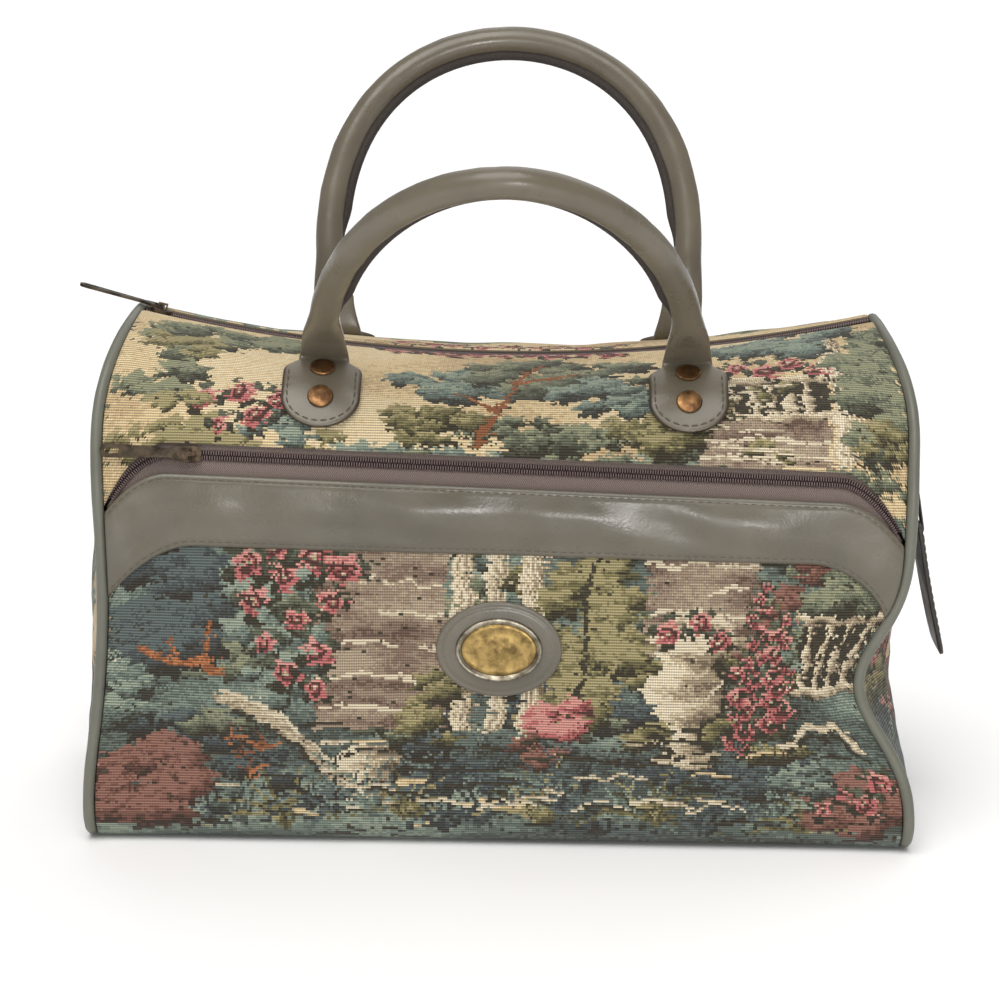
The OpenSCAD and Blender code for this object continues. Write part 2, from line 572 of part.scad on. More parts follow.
upper_front_panel();
pocket_panel();
pocket_band();
pocket_lining();
back_panel();
base_panel();
base_board();
left_end_panel();
right_end_panel();
left_piping();
right_piping();
top_zip_front_tape();
top_zip_rear_tape();
top_zip_front_coil();
top_zip_rear_coil();
pocket_zip_upper_tape();
pocket_zip_lower_tape();
pocket_zip_upper_coil();
pocket_zip_lower_coil();
top_slider();
top_pull();
pocket_slider();
pocket_pull();
front_left_tab();
front_right_tab();
rear_left_tab();
rear_right_tab();
front_rivets();
rear_rivets();
front_handle();
rear_handle();
left_ring_loop();
right_ring_loop();
left_ring();
right_ring();
tag_strap();
tag_body();
badge_patch();
badge_plate();
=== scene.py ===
# %% [markdown]
# A carpet bag is a soft weekend bag sewn from woven picture cloth. This lesson dresses the packed
# frame of such a bag: cloth, leatherette, zips, handles and metal. Every length below is in
# millimetres and becomes metres only when a mesh is made.

# %% Load the frame
import math
import bpy
import numpy as np
from mathutils import Matrix, Vector


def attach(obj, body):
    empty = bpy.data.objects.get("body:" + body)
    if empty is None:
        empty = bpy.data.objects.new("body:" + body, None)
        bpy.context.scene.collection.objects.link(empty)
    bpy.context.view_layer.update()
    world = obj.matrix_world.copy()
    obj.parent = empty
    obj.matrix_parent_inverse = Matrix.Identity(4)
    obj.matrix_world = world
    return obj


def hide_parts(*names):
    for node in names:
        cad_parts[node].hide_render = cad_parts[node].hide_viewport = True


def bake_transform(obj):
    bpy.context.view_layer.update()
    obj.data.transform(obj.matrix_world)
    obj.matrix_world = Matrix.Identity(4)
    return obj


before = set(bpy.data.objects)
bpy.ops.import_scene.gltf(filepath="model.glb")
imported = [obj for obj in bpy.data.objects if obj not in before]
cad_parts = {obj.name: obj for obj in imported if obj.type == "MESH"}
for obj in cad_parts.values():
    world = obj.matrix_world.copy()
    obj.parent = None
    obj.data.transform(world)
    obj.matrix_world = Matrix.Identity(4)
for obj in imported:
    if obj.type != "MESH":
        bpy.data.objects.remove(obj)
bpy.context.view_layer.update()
MM = 0.001

# %% [markdown]
# The picture of the bag was taken from the front and a little above, through a longish lens, with
# the camera turned slightly. A camera is easiest to place by its own three axes, so they are
# worked out from pitch, yaw and roll. Two wide patches of sky, three small windows for the gloss
# and a pale floor make a plain studio.

# %% Camera, lamps and world
scene = bpy.context.scene
CAMERA_AT, PITCH, YAW, ROLL, FOCAL_PX = (9.7, -1470, 492), 12.45, -0.47, 0.8, 2751
FRAME_PX, SENSOR = 1000, 36.0


def camera_turn():
    p, y, r = (math.radians(a) for a in (PITCH, YAW, ROLL))
    ahead = Vector((math.sin(y) * math.cos(p), math.cos(y) * math.cos(p), -math.sin(p)))
    right = Vector((math.cos(y), -math.sin(y), 0))
    up = right.cross(ahead)
    right, up = right * math.cos(r) + up * math.sin(r), up * math.cos(r) - right * math.sin(r)
    return Matrix((right, up, -ahead)).transposed().to_4x4()


lens = bpy.data.cameras.new("lens")
lens.sensor_width, lens.lens = SENSOR, FOCAL_PX / FRAME_PX * SENSOR
camera = bpy.data.objects.new("camera", lens)
camera.matrix_world = Matrix.Translation(Vector(CAMERA_AT) * MM) @ camera_turn()
scene.collection.objects.link(camera)
scene.camera = camera
scene.view_settings.view_transform = "Standard"


def lamp(name, at, aim, size, watts, tint=(1, 1, 1)):
    light = bpy.data.lights.new(name, "AREA")
    light.shape, light.size, light.energy, light.color = "DISK", size, watts, tint
    piece = bpy.data.objects.new(name, light)
    piece.location = at
    piece.rotation_euler = (Vector(aim) - Vector(at)).to_track_quat("-Z", "Y").to_euler()
    scene.collection.objects.link(piece)


def sun(name, bearing, height, spread, strength, tint=(1, 1, 1)):
    """Light from a wide patch of sky: bearing from the front, height above the floor, in degrees."""
    light = bpy.data.lights.new(name, "SUN")
    light.angle, light.energy, light.color = math.radians(spread), strength, tint
    piece = bpy.data.objects.new(name, light)
    b, h = math.radians(bearing), math.radians(height)
    toward = Vector((math.sin(b) * math.cos(h), -math.cos(b) * math.cos(h), math.sin(h)))
    piece.rotation_euler = toward.to_track_quat("Z", "Y").to_euler()
    scene.collection.objects.link(piece)


sun("sky_light", -14, 62, 46, 2.2, (1, 0.985, 0.96))
sun("back_light", 165, 48, 60, 0.75)
for pane, x in enumerate((0.19, 0.34)):
    lamp(f"window_{pane}", (x, -2.3, 0.5), (0.1, -0.1, 0.17), 0.2, 6, (1, 0.99, 0.97))
lamp("narrow_window", (0.04, -2.3, 0.45), (0.0, -0.1, 0.17), 0.1, 1.6)
world = bpy.data.worlds.new("studio")
scene.world = world
world.use_nodes = True
world.node_tree.nodes["Background"].inputs["Color"].default_value = (1, 1, 1, 1)
world.node_tree.nodes["Background"].inputs["Strength"].default_value = 0.34
print("camera lens", round(lens.lens, 1), "mm")

# %% [markdown]
# The bag's shape follows one rule, a vault on two upright walls that sags along the top. The same
# rule places every panel, so it is written once, for whole arrays of points: u runs across the
# bag, q runs up the cloth from the foot of the vault, and side is -1 in front and 1 behind.

# %% The skin of the bag
HALF_W, DEPTH_R, VAULT_Z, BASE_R, BODY_H = 210.0, 92.5, 179.5, 16.0, 272.0
CLOTH, FIT, PIPING_R = 2.4, 0.3, 3.0
SAG_FROM, END_LEAN, ZIP_HALF, SAG_R, WALL_SWELL = 24.0, 12.0, 194.0, 866.364, 5.0
WRAP_END = 1 - (PIPING_R + FIT) / HALF_W
Q_FOOT, Q_TOP = BASE_R - VAULT_Z, 139.294


def lift(phi):
    t = np.clip((phi - SAG_FROM) / (90 - SAG_FROM), 0, None)
    return np.sin(np.pi / 2 * t) ** 2


def sag(x):
    inside = np.sqrt(np.maximum(SAG_R**2 - np.asarray(x, float) ** 2, 0)) - math.sqrt(SAG_R**2 - ZIP_HALF**2)
    return np.maximum(inside, 0)


def end_x(phi):
    return HALF_W - END_LEAN * lift(phi)


def skin(u, q, side):
    u, q = np.broadcast_arrays(np.asarray(u, float), np.asarray(q, float))
    z = VAULT_Z + q
    rise = np.clip((z - BASE_R) / (VAULT_Z - BASE_R), 0, 1)
    wall = WALL_SWELL * (1 - u**4) * np.sin(np.pi * rise) ** 2
    phi = np.degrees(np.maximum(q, 0) / DEPTH_R)
    x = u * end_x(phi)
    turn = np.radians(phi)
    y = side * np.where(q < 0, DEPTH_R + wall, DEPTH_R * np.cos(turn))
    z = np.where(q < 0, z, VAULT_Z + DEPTH_R * np.sin(turn) - sag(x) * lift(phi))
    return np.stack([x, y, z], -1)


def unit(v):
    return v / np.maximum(np.linalg.norm(v, axis=-1, keepdims=True), 1e-12)


def skin_normal(u, q, side, e=0.05):
    across = skin(u + e / HALF_W, q, side) - skin(u - e / HALF_W, q, side)
    up = skin(u, q + e, side) - skin(u, q - e, side)
    return unit(-side * np.cross(across, up))


def skin_at(u, q, side, off):
    return skin(u, q, side) + np.asarray(off)[..., None] * skin_normal(u, q, side)


def q_of(z):
    z = np.asarray(z, float)
    over = np.arcsin(np.clip((z - VAULT_Z) / DEPTH_R, 0, 1)) * DEPTH_R
    return np.where(z < VAULT_Z, z - VAULT_Z, over)


def u_at(x, q):
    return x / end_x(np.degrees(np.maximum(q, 0) / DEPTH_R))


def smooth(a, b, t):
    t = np.clip((t - a) / (b - a), 0, 1)
    return t * t * (3 - 2 * t)


print("skin at the middle of the front", skin(0.0, -80.0, -1).round(1))

# %% [markdown]
# The zip of the front pocket runs nearly straight, a little lower at the right, and falls away in
# a curve at both ends. The edges of the cloth above it and of the band below it follow that line.

# %% Edges round the pocket zip
ZIP_Z, ZIP_RUN, SLOPE = 204.0, 172.0, math.tan(math.radians(1.60102))
UPPER_LIP, LOWER_LIP, CORNER_DROP, BAND_Z = 5.2, 10.0, 40.0, 159.0


def past_zip(x):
    return (np.maximum(0, np.abs(x) - ZIP_RUN) / (HALF_W - ZIP_RUN)) ** 2


def zip_line(x):
    return ZIP_Z - x * SLOPE


def upper_edge(x):
    return zip_line(x) + UPPER_LIP - CORNER_DROP * past_zip(x)


def band_top(x):
    return zip_line(x) - LOWER_LIP - (CORNER_DROP - UPPER_LIP - LOWER_LIP + 1) * past_zip(x)


def band_low(x):
    past = np.maximum(0, np.abs(x) - ZIP_RUN + 14) / (HALF_W - ZIP_RUN + 14)
    return BAND_Z - x * SLOPE / 2 - CORNER_DROP * 0.8 * past**2


# %% [markdown]
# Cloth is never quite even. A small repeatable noise, made from a hashed grid, serves for the
# yarn, the drawing's edges and the soft dents. The slump adds the dents that every seam shares:
# the right front corner has fallen in, and the left end bulges.

# %% Noise and slump
def hashed(i, j, seed):
    h = np.sin(i * 127.1 + j * 311.7 + seed * 74.7) * 43758.5453
    return h - np.floor(h)


def noise(x, y, size, seed=0):
    x, y = x / size, y / size
    i, j = np.floor(x), np.floor(y)
    fx, fy = x - i, y - j
    fx, fy = fx * fx * (3 - 2 * fx), fy * fy * (3 - 2 * fy)
    low = hashed(i, j, seed) * (1 - fx) + hashed(i + 1, j, seed) * fx
    high = hashed(i, j + 1, seed) * (1 - fx) + hashed(i + 1, j + 1, seed) * fx
    return low * (1 - fy) + high * fy


DENTS = [  # middle, reach, push
    ((212, -86, 92), (46, 58, 36), (-24, 5, 0)),
    ((176, -97, 88), (24, 30, 44), (0, -3, 0)),
    ((-214, 0, 118), (30, 80, 62), (-7, 0, 0)),
    ((-210, -95, 130), (40, 40, 60), (5, 0, 0)),
    ((-212, -78, 20), (30, 70, 45), (-6, -2, 0)),
    ((212, -78, 20), (30, 70, 40), (6, -2, 0)),
    ((208, -60, 250), (30, 50, 30), (2, 0, -3)),
    ((-120, -97, 60), (52, 30, 40), (0, -3, 0)),
    ((110, -97, 70), (60, 30, 40), (0, -3.5, 0)),
    ((40, 97, 90), (80, 30, 60), (0, 4, 0)),
]


def slump(points):
    points = np.asarray(points, float)
    moved = points.copy()
    for middle, reach, push in DENTS:
        away = ((points - np.array(middle)) / np.array(reach)) ** 2
        moved += np.exp(-away.sum(-1))[..., None] * np.array(push, float)
    moved[..., 2] = np.maximum(moved[..., 2], np.minimum(points[..., 2], 0.4))
    return moved


def ripple(x, q, side, seed):
    """Puckers of the cloth, none where something rigid is fixed to it."""
    away = smooth(2, 20, HALF_W * WRAP_END - np.abs(x))
    for cx, cq, r in [(-95, 73, 62), (95, 73, 62)] + ([(-1, -69.5, 50)] if side < 0 else []):
        away = away * smooth(0.55, 1.0, np.hypot((x - cx) / r, (q - cq) / r))
    if side < 0:
        away = away * smooth(8, 26, np.abs(q - q_of(zip_line(x))))
    away = away * smooth(2, 18, Q_TOP - q) * smooth(0, 30, q - Q_FOOT)
    wave = (noise(x, q * 0.6, 46, seed) - 0.5) * 3.0 + (noise(x * 0.8 + q * 0.5, q, 17, seed + 3) - 0.5) * 1.2
    return wave * away


# %% [markdown]
# Three mesh builders cover nearly every soft piece: a slab between two grids of points, a sweep
# through a row of rings, and a plain maker of objects. They fill the mesh with whole arrays at
# once, which is far quicker than adding points one by one.

# %% Mesh builders
def make(name, points, faces, material, soft=True):
    """An object at the origin from points in mm and a list of face arrays, each of one corner count."""
    mesh = bpy.data.meshes.new(name)
    points = np.asarray(points, float).reshape(-1, 3) * MM
    mesh.vertices.add(len(points))
    mesh.vertices.foreach_set("co", points.astype(np.float32).ravel())
    corners = np.concatenate([np.asarray(f).ravel() for f in faces])
    sizes = np.concatenate([np.full(len(f), np.asarray(f).shape[1]) for f in faces])
    mesh.loops.add(len(corners))
    mesh.loops.foreach_set("vertex_index", corners.astype(np.int32))
    mesh.polygons.add(len(sizes))
    mesh.polygons.foreach_set("loop_start", np.concatenate([[0], np.cumsum(sizes)[:-1]]).astype(np.int32))
    mesh.update(calc_edges=True)
    mesh.polygons.foreach_set("use_smooth", np.full(len(sizes), soft))
    mesh.materials.append(material)
    piece = bpy.data.objects.new(name, mesh)
    scene.collection.objects.link(piece)
    return piece


def grid_faces(n, m, start=0, flip=False):
    i, j = np.meshgrid(np.arange(n - 1), np.arange(m - 1), indexing="ij")
    a = (start + i * m + j).ravel()
    quads = np.stack([a, a + m, a + m + 1, a + 1], -1)
    return quads[:, ::-1] if flip else quads


def slab(name, outer, inner, material, soft=True):
    """A closed piece between two grids. Its first faces are those of the outer grid, in row order."""
    n, m = outer.shape[:2]
    a, b = outer[n // 2, m // 2], inner[n // 2, m // 2]
    along, up = outer[n // 2 + 1, m // 2] - a, outer[n // 2, m // 2 + 1] - a
    flip = np.dot(np.cross(along, up), a - b) < 0
    k = n * m
    index = np.arange(k).reshape(n, m)
    ring = np.concatenate([index[:, 0], index[-1, 1:], index[-2::-1, -1], index[0, -2:0:-1]])
    nxt = np.roll(ring, -1)
    rim = np.stack([ring, ring + k, nxt + k, nxt], -1)
    rim = rim[:, ::-1] if flip else rim
    faces = np.concatenate([grid_faces(n, m, 0, flip), grid_faces(n, m, k, not flip), rim])
    return make(name, np.concatenate([outer.reshape(-1, 3), inner.reshape(-1, 3)]), [faces], material, soft)


def sweep(name, rings, material, closed=False, soft=True):
    """A tube through rings of points, joined end to end or closed by a fan at both ends."""
    rings = np.asarray(rings, float)
    n, m = rings.shape[:2]
    i, j = np.meshgrid(np.arange(n if closed else n - 1), np.arange(m), indexing="ij")
    at = lambda a, b: ((a % n) * m + b % m).ravel()
    quads = np.stack([at(i, j), at(i, j + 1), at(i + 1, j + 1), at(i + 1, j)], -1)
    points, faces = rings.reshape(-1, 3), [quads]
    middle = rings[n // 2].mean(0)
    side = np.cross(rings[n // 2, 1] - rings[n // 2, 0], rings[(n // 2 + 1) % n, 0] - rings[n // 2, 0])
    flip = np.dot(side, rings[n // 2, 0] - middle) < 0
    if not closed:
        points = np.concatenate([points, rings[0].mean(0)[None], rings[-1].mean(0)[None]])
        k = np.arange(m)
        first = np.stack([np.full(m, n * m), (k + 1) % m, k], -1)
        last = np.stack([np.full(m, n * m + 1), (n - 1) * m + k, (n - 1) * m + (k + 1) % m], -1)
        faces.append(np.concatenate([first, last]))
    return make(name, points, [f[:, ::-1] for f in faces] if flip else faces, material, soft)


def paint(piece, colours):
    """Writes one colour for each face, in a corner attribute named yarn."""
    mesh = piece.data
    total = len(mesh.polygons)
    full = np.tile(np.array([0.30, 0.24, 0.19, 0.0]), (total, 1))
    full[: len(colours)] = colours
    sizes = np.zeros(total, np.int32)
    mesh.polygons.foreach_get("loop_total", sizes)
    layer = mesh.color_attributes.new("yarn", "FLOAT_COLOR", "CORNER")
    layer.data.foreach_set("color", np.repeat(full, sizes, axis=0).astype(np.float32).ravel())


def lay_flat(piece, flat):
    """A UV map in centimetres of cloth, from one flat place for each point."""
    mesh = piece.data
    index = np.zeros(len(mesh.loops), np.int32)
    mesh.loops.foreach_get("vertex_index", index)
    layer = mesh.uv_layers.new(name="cloth")
    layer.data.foreach_set("uv", (np.asarray(flat, float)[index] / 10).astype(np.float32).ravel())


def done(piece, nodes=(), body="bag"):
    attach(piece, body)
    if nodes:
        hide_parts(*nodes)
    print(piece.name, len(piece.data.polygons), "faces")
    return piece


# %% [markdown]
# A material is a small graph of nodes. One helper adds a node and wires its inputs, so that each
# finish below reads as a list of what it does. Colours are given as seen on a screen, 0 to 255,
# and turned into the linear values that Blender wants.

# %% Node helpers
def tint(r, g, b):
    c = np.array([r, g, b]) / 255
    return np.where(c <= 0.04045, c / 12.92, ((c + 0.055) / 1.055) ** 2.4)


class Graph:
    def __init__(self, name):
        self.material = bpy.data.materials.new(name)
        self.material.use_nodes = True
        self.tree = self.material.node_tree
        self.shader = self.tree.nodes["Principled BSDF"]

    def add(self, kind, inputs=(), out=0, **settings):
        made = self.tree.nodes.new(kind)
        for key, value in settings.items():
            setattr(made, key, value)
        for key, value in dict(inputs).items():
            self.wire(made.inputs[key], value)
        return made.outputs[out]

    def wire(self, socket, value):
        if isinstance(value, bpy.types.NodeSocket):
            self.tree.links.new(value, socket)
        elif isinstance(value, (tuple, np.ndarray)) and socket.type == "RGBA":
            socket.default_value = (*value, 1)
        else:
            socket.default_value = value

    def sum(self, kind, a, b=0.5, c=0.5):
        return self.add("ShaderNodeMath", {0: a, 1: b, 2: c}, operation=kind)

    def mix(self, amount, a, b, how="MIX"):
        made = self.tree.nodes.new("ShaderNodeMix")
        made.data_type, made.blend_type = "RGBA", how
        for key, value in ((0, amount), (6, a), (7, b)):
            self.wire(made.inputs[key], value)
        return made.outputs[2]

    def place(self, which="Object"):
        return self.add("ShaderNodeTexCoord", out=which)

    def cloud(self, scale, detail=3.0, where=None, rough=0.55):
        inputs = {"Vector": where or self.place(), "Scale": scale, "Detail": detail, "Roughness": rough}
        return self.add("ShaderNodeTexNoise", inputs)

    def range(self, value, low, high, to_low, to_high):
        return self.add("ShaderNodeMapRange", {0: value, 1: low, 2: high, 3: to_low, 4: to_high})

    def bump(self, height, depth, strength=1.0, over=None):
        inputs = {"Height": height, "Distance": depth, "Strength": strength}
        if over:
            inputs["Normal"] = over
        return self.add("ShaderNodeBump", inputs)

    def finish(self, **sockets):
        for key, value in sockets.items():
            self.wire(self.shader.inputs[key.replace("_", " ")], value)
        return self.material


# %% [markdown]
# The cloth is a weft-faced picture weave: fine ribs run across it, and each stitch has the colour
# that the drawing gives it. The colour comes from the mesh, stitch by stitch. The ribs, the
# binding threads between them and the fuzz of the yarn come from the flat cloth coordinates.

# %% Finish: tapestry
RIB, WARP = 1.45, 1.2


def tapestry_finish():
    g = Graph("tapestry")
    yarn = g.tree.nodes.new("ShaderNodeVertexColor")
    yarn.layer_name = "yarn"
    colour, plain = yarn.outputs["Color"], yarn.outputs["Alpha"]
    flat = g.add("ShaderNodeUVMap", uv_map="cloth")
    split = g.tree.nodes.new("ShaderNodeSeparateXYZ")
    g.tree.links.new(flat, split.inputs[0])
    fuzz = g.cloud(9.0, 2.0, flat)
    wobble = g.sum("MULTIPLY_ADD", fuzz, 0.9, -0.45)
    rib = g.sum("SINE", g.sum("MULTIPLY_ADD", split.outputs[1], 2 * math.pi * 10 / RIB, wobble))
    warp = g.sum("SINE", g.sum("MULTIPLY", split.outputs[0], 2 * math.pi * 10 / WARP))
    weft = g.range(rib, -1, 1, 0.0, 1.0)
    thread = g.range(warp, -1, 1, 0.0, 1.0)
    height = g.sum("MULTIPLY_ADD", thread, g.sum("MULTIPLY_ADD", plain, 0.45, 0.18), weft)
    shade = g.range(height, 0.0, 1.25, 0.40, 1.24)
    speck = g.range(g.cloud(26.0, 2.0, flat), 0.32, 0.7, 0.78, 1.2)
    depth = g.sum("MULTIPLY", shade, speck)
    grey = g.add("ShaderNodeCombineColor", {0: depth, 1: depth, 2: depth})
    normal = g.bump(height, 0.0005, 0.7)
    dusty = g.mix(0.13, colour, tint(140, 124, 102))
    return g.finish(
        Base_Color=g.mix(1.0, dusty, grey, "MULTIPLY"),
        Roughness=0.88,
        Normal=normal,
        Sheen_Weight=0.12,
        Sheen_Roughness=0.5,
        Specular_IOR_Level=0.2,
    )


tapestry = tapestry_finish()

# %% [markdown]
# Leatherette is a thin plastic skin on cloth: an even taupe with a fine pebble grain, soft creases
# and a fairly sharp gloss that breaks up where it has been handled. The piping is the same skin
# in a greener shade. Rolled handles and the tag use it too, with their own colour and gloss.

# %% Finish: leatherette, raw edges and thread
def leatherette_finish(name, base, dark, gloss, grain=1000.0, crease=0.0006):
    g = Graph(name)
    cells = g.add("ShaderNodeTexVoronoi", {"Vector": g.place(), "Scale": grain}, feature="SMOOTH_F1")
    wear = g.cloud(22.0, 4.0)
    fold = g.cloud(75.0, 3.0)
    colour = g.mix(g.range(wear, 0.3, 0.7, 0.0, 1.0), base, dark)
    cut = g.add("ShaderNodeAttribute", attribute_name="cut_edge", out="Fac")
    colour = g.mix(cut, colour, tint(58, 48, 41))
    grainy = g.bump(cells, 0.00012, 0.35)
    normal = g.bump(fold, crease, 0.35, grainy)
    rough = g.range(g.cloud(38.0, 4.0), 0.3, 0.7, gloss - 0.07, gloss + 0.12)
    return g.finish(Base_Color=colour, Roughness=rough, Normal=normal, Specular_IOR_Level=0.5)


leatherette = leatherette_finish("leatherette", tint(101, 95, 83), tint(88, 83, 72), 0.27, crease=0.0009)
roll_skin = leatherette_finish("roll_skin", tint(107, 99, 84), tint(92, 85, 72), 0.3, crease=0.0008)
piping_skin = leatherette_finish("piping_skin", tint(108, 108, 97), tint(92, 92, 82), 0.42)
tag_skin = leatherette_finish("tag_skin", tint(52, 48, 44), tint(40, 37, 34), 0.45)


def fibre_finish(name, base, dark, scale):
    g = Graph(name)
    twist = g.cloud(scale, 3.0)
    colour = g.mix(g.range(twist, 0.3, 0.7, 0.0, 1.0), base, dark)
    return g.finish(Base_Color=colour, Roughness=0.8, Normal=g.bump(twist, 0.0002, 0.5))


raw_edge = fibre_finish("raw_edge", tint(58, 50, 45), tint(40, 34, 31), 900.0)
thread = fibre_finish("thread", tint(94, 85, 73), tint(72, 65, 56), 1500.0)
lining_cloth = fibre_finish("lining_cloth", tint(70, 62, 55), tint(55, 48, 42), 700.0)
board_card = fibre_finish("board_card", tint(120, 98, 72), tint(96, 78, 58), 300.0)

# %% [markdown]
# A zip tape is a narrow herringbone webbing, so its cloth coordinates drive slanted ribs. The coil
# is glossy nylon wire. Pulls, sliders, rings and rivets are plated metal gone dull: bright on the
# worn high places and brown in the hollows, which a noise stands in for.

# %% Finish: zips and metal
def tape_finish():
    g = Graph("zip_tape")
    flat = g.add("ShaderNodeUVMap", uv_map="cloth")
    split = g.tree.nodes.new("ShaderNodeSeparateXYZ")
    g.tree.links.new(flat, split.inputs[0])
    zig = g.sum("PINGPONG", g.sum("MULTIPLY", split.outputs[1], 5.0), 1.0)
    along = g.sum("MULTIPLY_ADD", zig, 0.16, split.outputs[0])
    slant = g.sum("SINE", g.sum("MULTIPLY", along, 2 * math.pi * 9))
    shade = g.range(slant, -1, 1, 0.0, 1.0)
    colour = g.mix(shade, tint(88, 76, 72), tint(126, 111, 104))
    return g.finish(Base_Color=colour, Roughness=0.82, Normal=g.bump(shade, 0.0002, 0.6))


def coil_finish():
    g = Graph("zip_coil")
    colour = g.mix(g.cloud(240.0), tint(88, 72, 72), tint(112, 94, 92))
    return g.finish(Base_Color=colour, Roughness=0.34, Specular_IOR_Level=0.5)


def metal_finish(name, bright, dull, rough, scale=160.0):
    g = Graph(name)
    patina = g.range(g.cloud(scale, 5.0, rough=0.65), 0.36, 0.64, 0.0, 1.0)
    scratch = g.cloud(1100.0, 2.0)
    colour, dulled = g.mix(patina, bright, dull), g.range(patina, 0, 1, rough, rough + 0.2)
    return g.finish(Base_Color=colour, Metallic=1.0, Roughness=dulled, Normal=g.bump(scratch, 0.00006, 0.4))


zip_tape, zip_coil = tape_finish(), coil_finish()
slider_metal = metal_finish("slider_metal", tint(122, 104, 86), tint(68, 57, 48), 0.32)
pull_metal = metal_finish("pull_metal", tint(84, 74, 62), tint(48, 42, 36), 0.34)
rivet_metal = metal_finish("rivet_metal", tint(160, 120, 80), tint(96, 70, 48), 0.30, 120.0)
ring_metal = metal_finish("ring_metal", tint(158, 132, 96), tint(92, 74, 54), 0.34)
badge_rim = metal_finish("badge_rim", tint(176, 168, 150), tint(96, 88, 74), 0.28)
badge_face = metal_finish("badge_face", tint(168, 142, 90), tint(104, 86, 54), 0.30, 150.0)
print("finishes", len(bpy.data.materials))

# %% [markdown]
# The picture is an old-fashioned garden of this script's own drawing: trees against a cream sky,
# rose bushes, a wall, stone work, water and tufts of grass. A Loom holds one colour for each
# stitch. Every motif is a mask and a ramp of yarns from dark to light, and a streaky dither mixes
# neighbouring yarns along the rows, as a weaver's hatching does.

# %% The loom and its yarns
def ramp(*colours):
    return np.array([tint(*c) for c in colours])


SKY = ramp((176, 150, 112), (206, 180, 138), (228, 204, 160), (236, 216, 176))
LEAF = ramp((36, 38, 31), (63, 69, 57), (91, 99, 82), (117, 124, 102), (146, 149, 120))
TEAL = ramp((36, 42, 40), (66, 78, 74), (94, 109, 102), (121, 137, 126), (149, 162, 145))
NAVY = ramp((29, 32, 32), (44, 53, 56), (61, 75, 80), (86, 101, 102))
OLIVE = ramp((37, 36, 26), (70, 69, 46), (102, 98, 65), (131, 124, 84), (166, 155, 112))
ROSE = ramp((72, 36, 37), (138, 66, 70), (194, 108, 108), (218, 152, 142))
RUST = ramp((84, 50, 34), (142, 84, 52), (186, 116, 72))
BRICK = ramp((92, 72, 62), (124, 103, 90), (148, 129, 111), (168, 151, 129))
STONE = ramp((66, 56, 46), (112, 98, 80), (156, 140, 116), (196, 180, 150), (226, 212, 184))
BUSH = ramp((48, 32, 30), (84, 52, 47), (118, 76, 67), (146, 102, 90))
INK = ramp((36, 36, 30), (52, 50, 40))


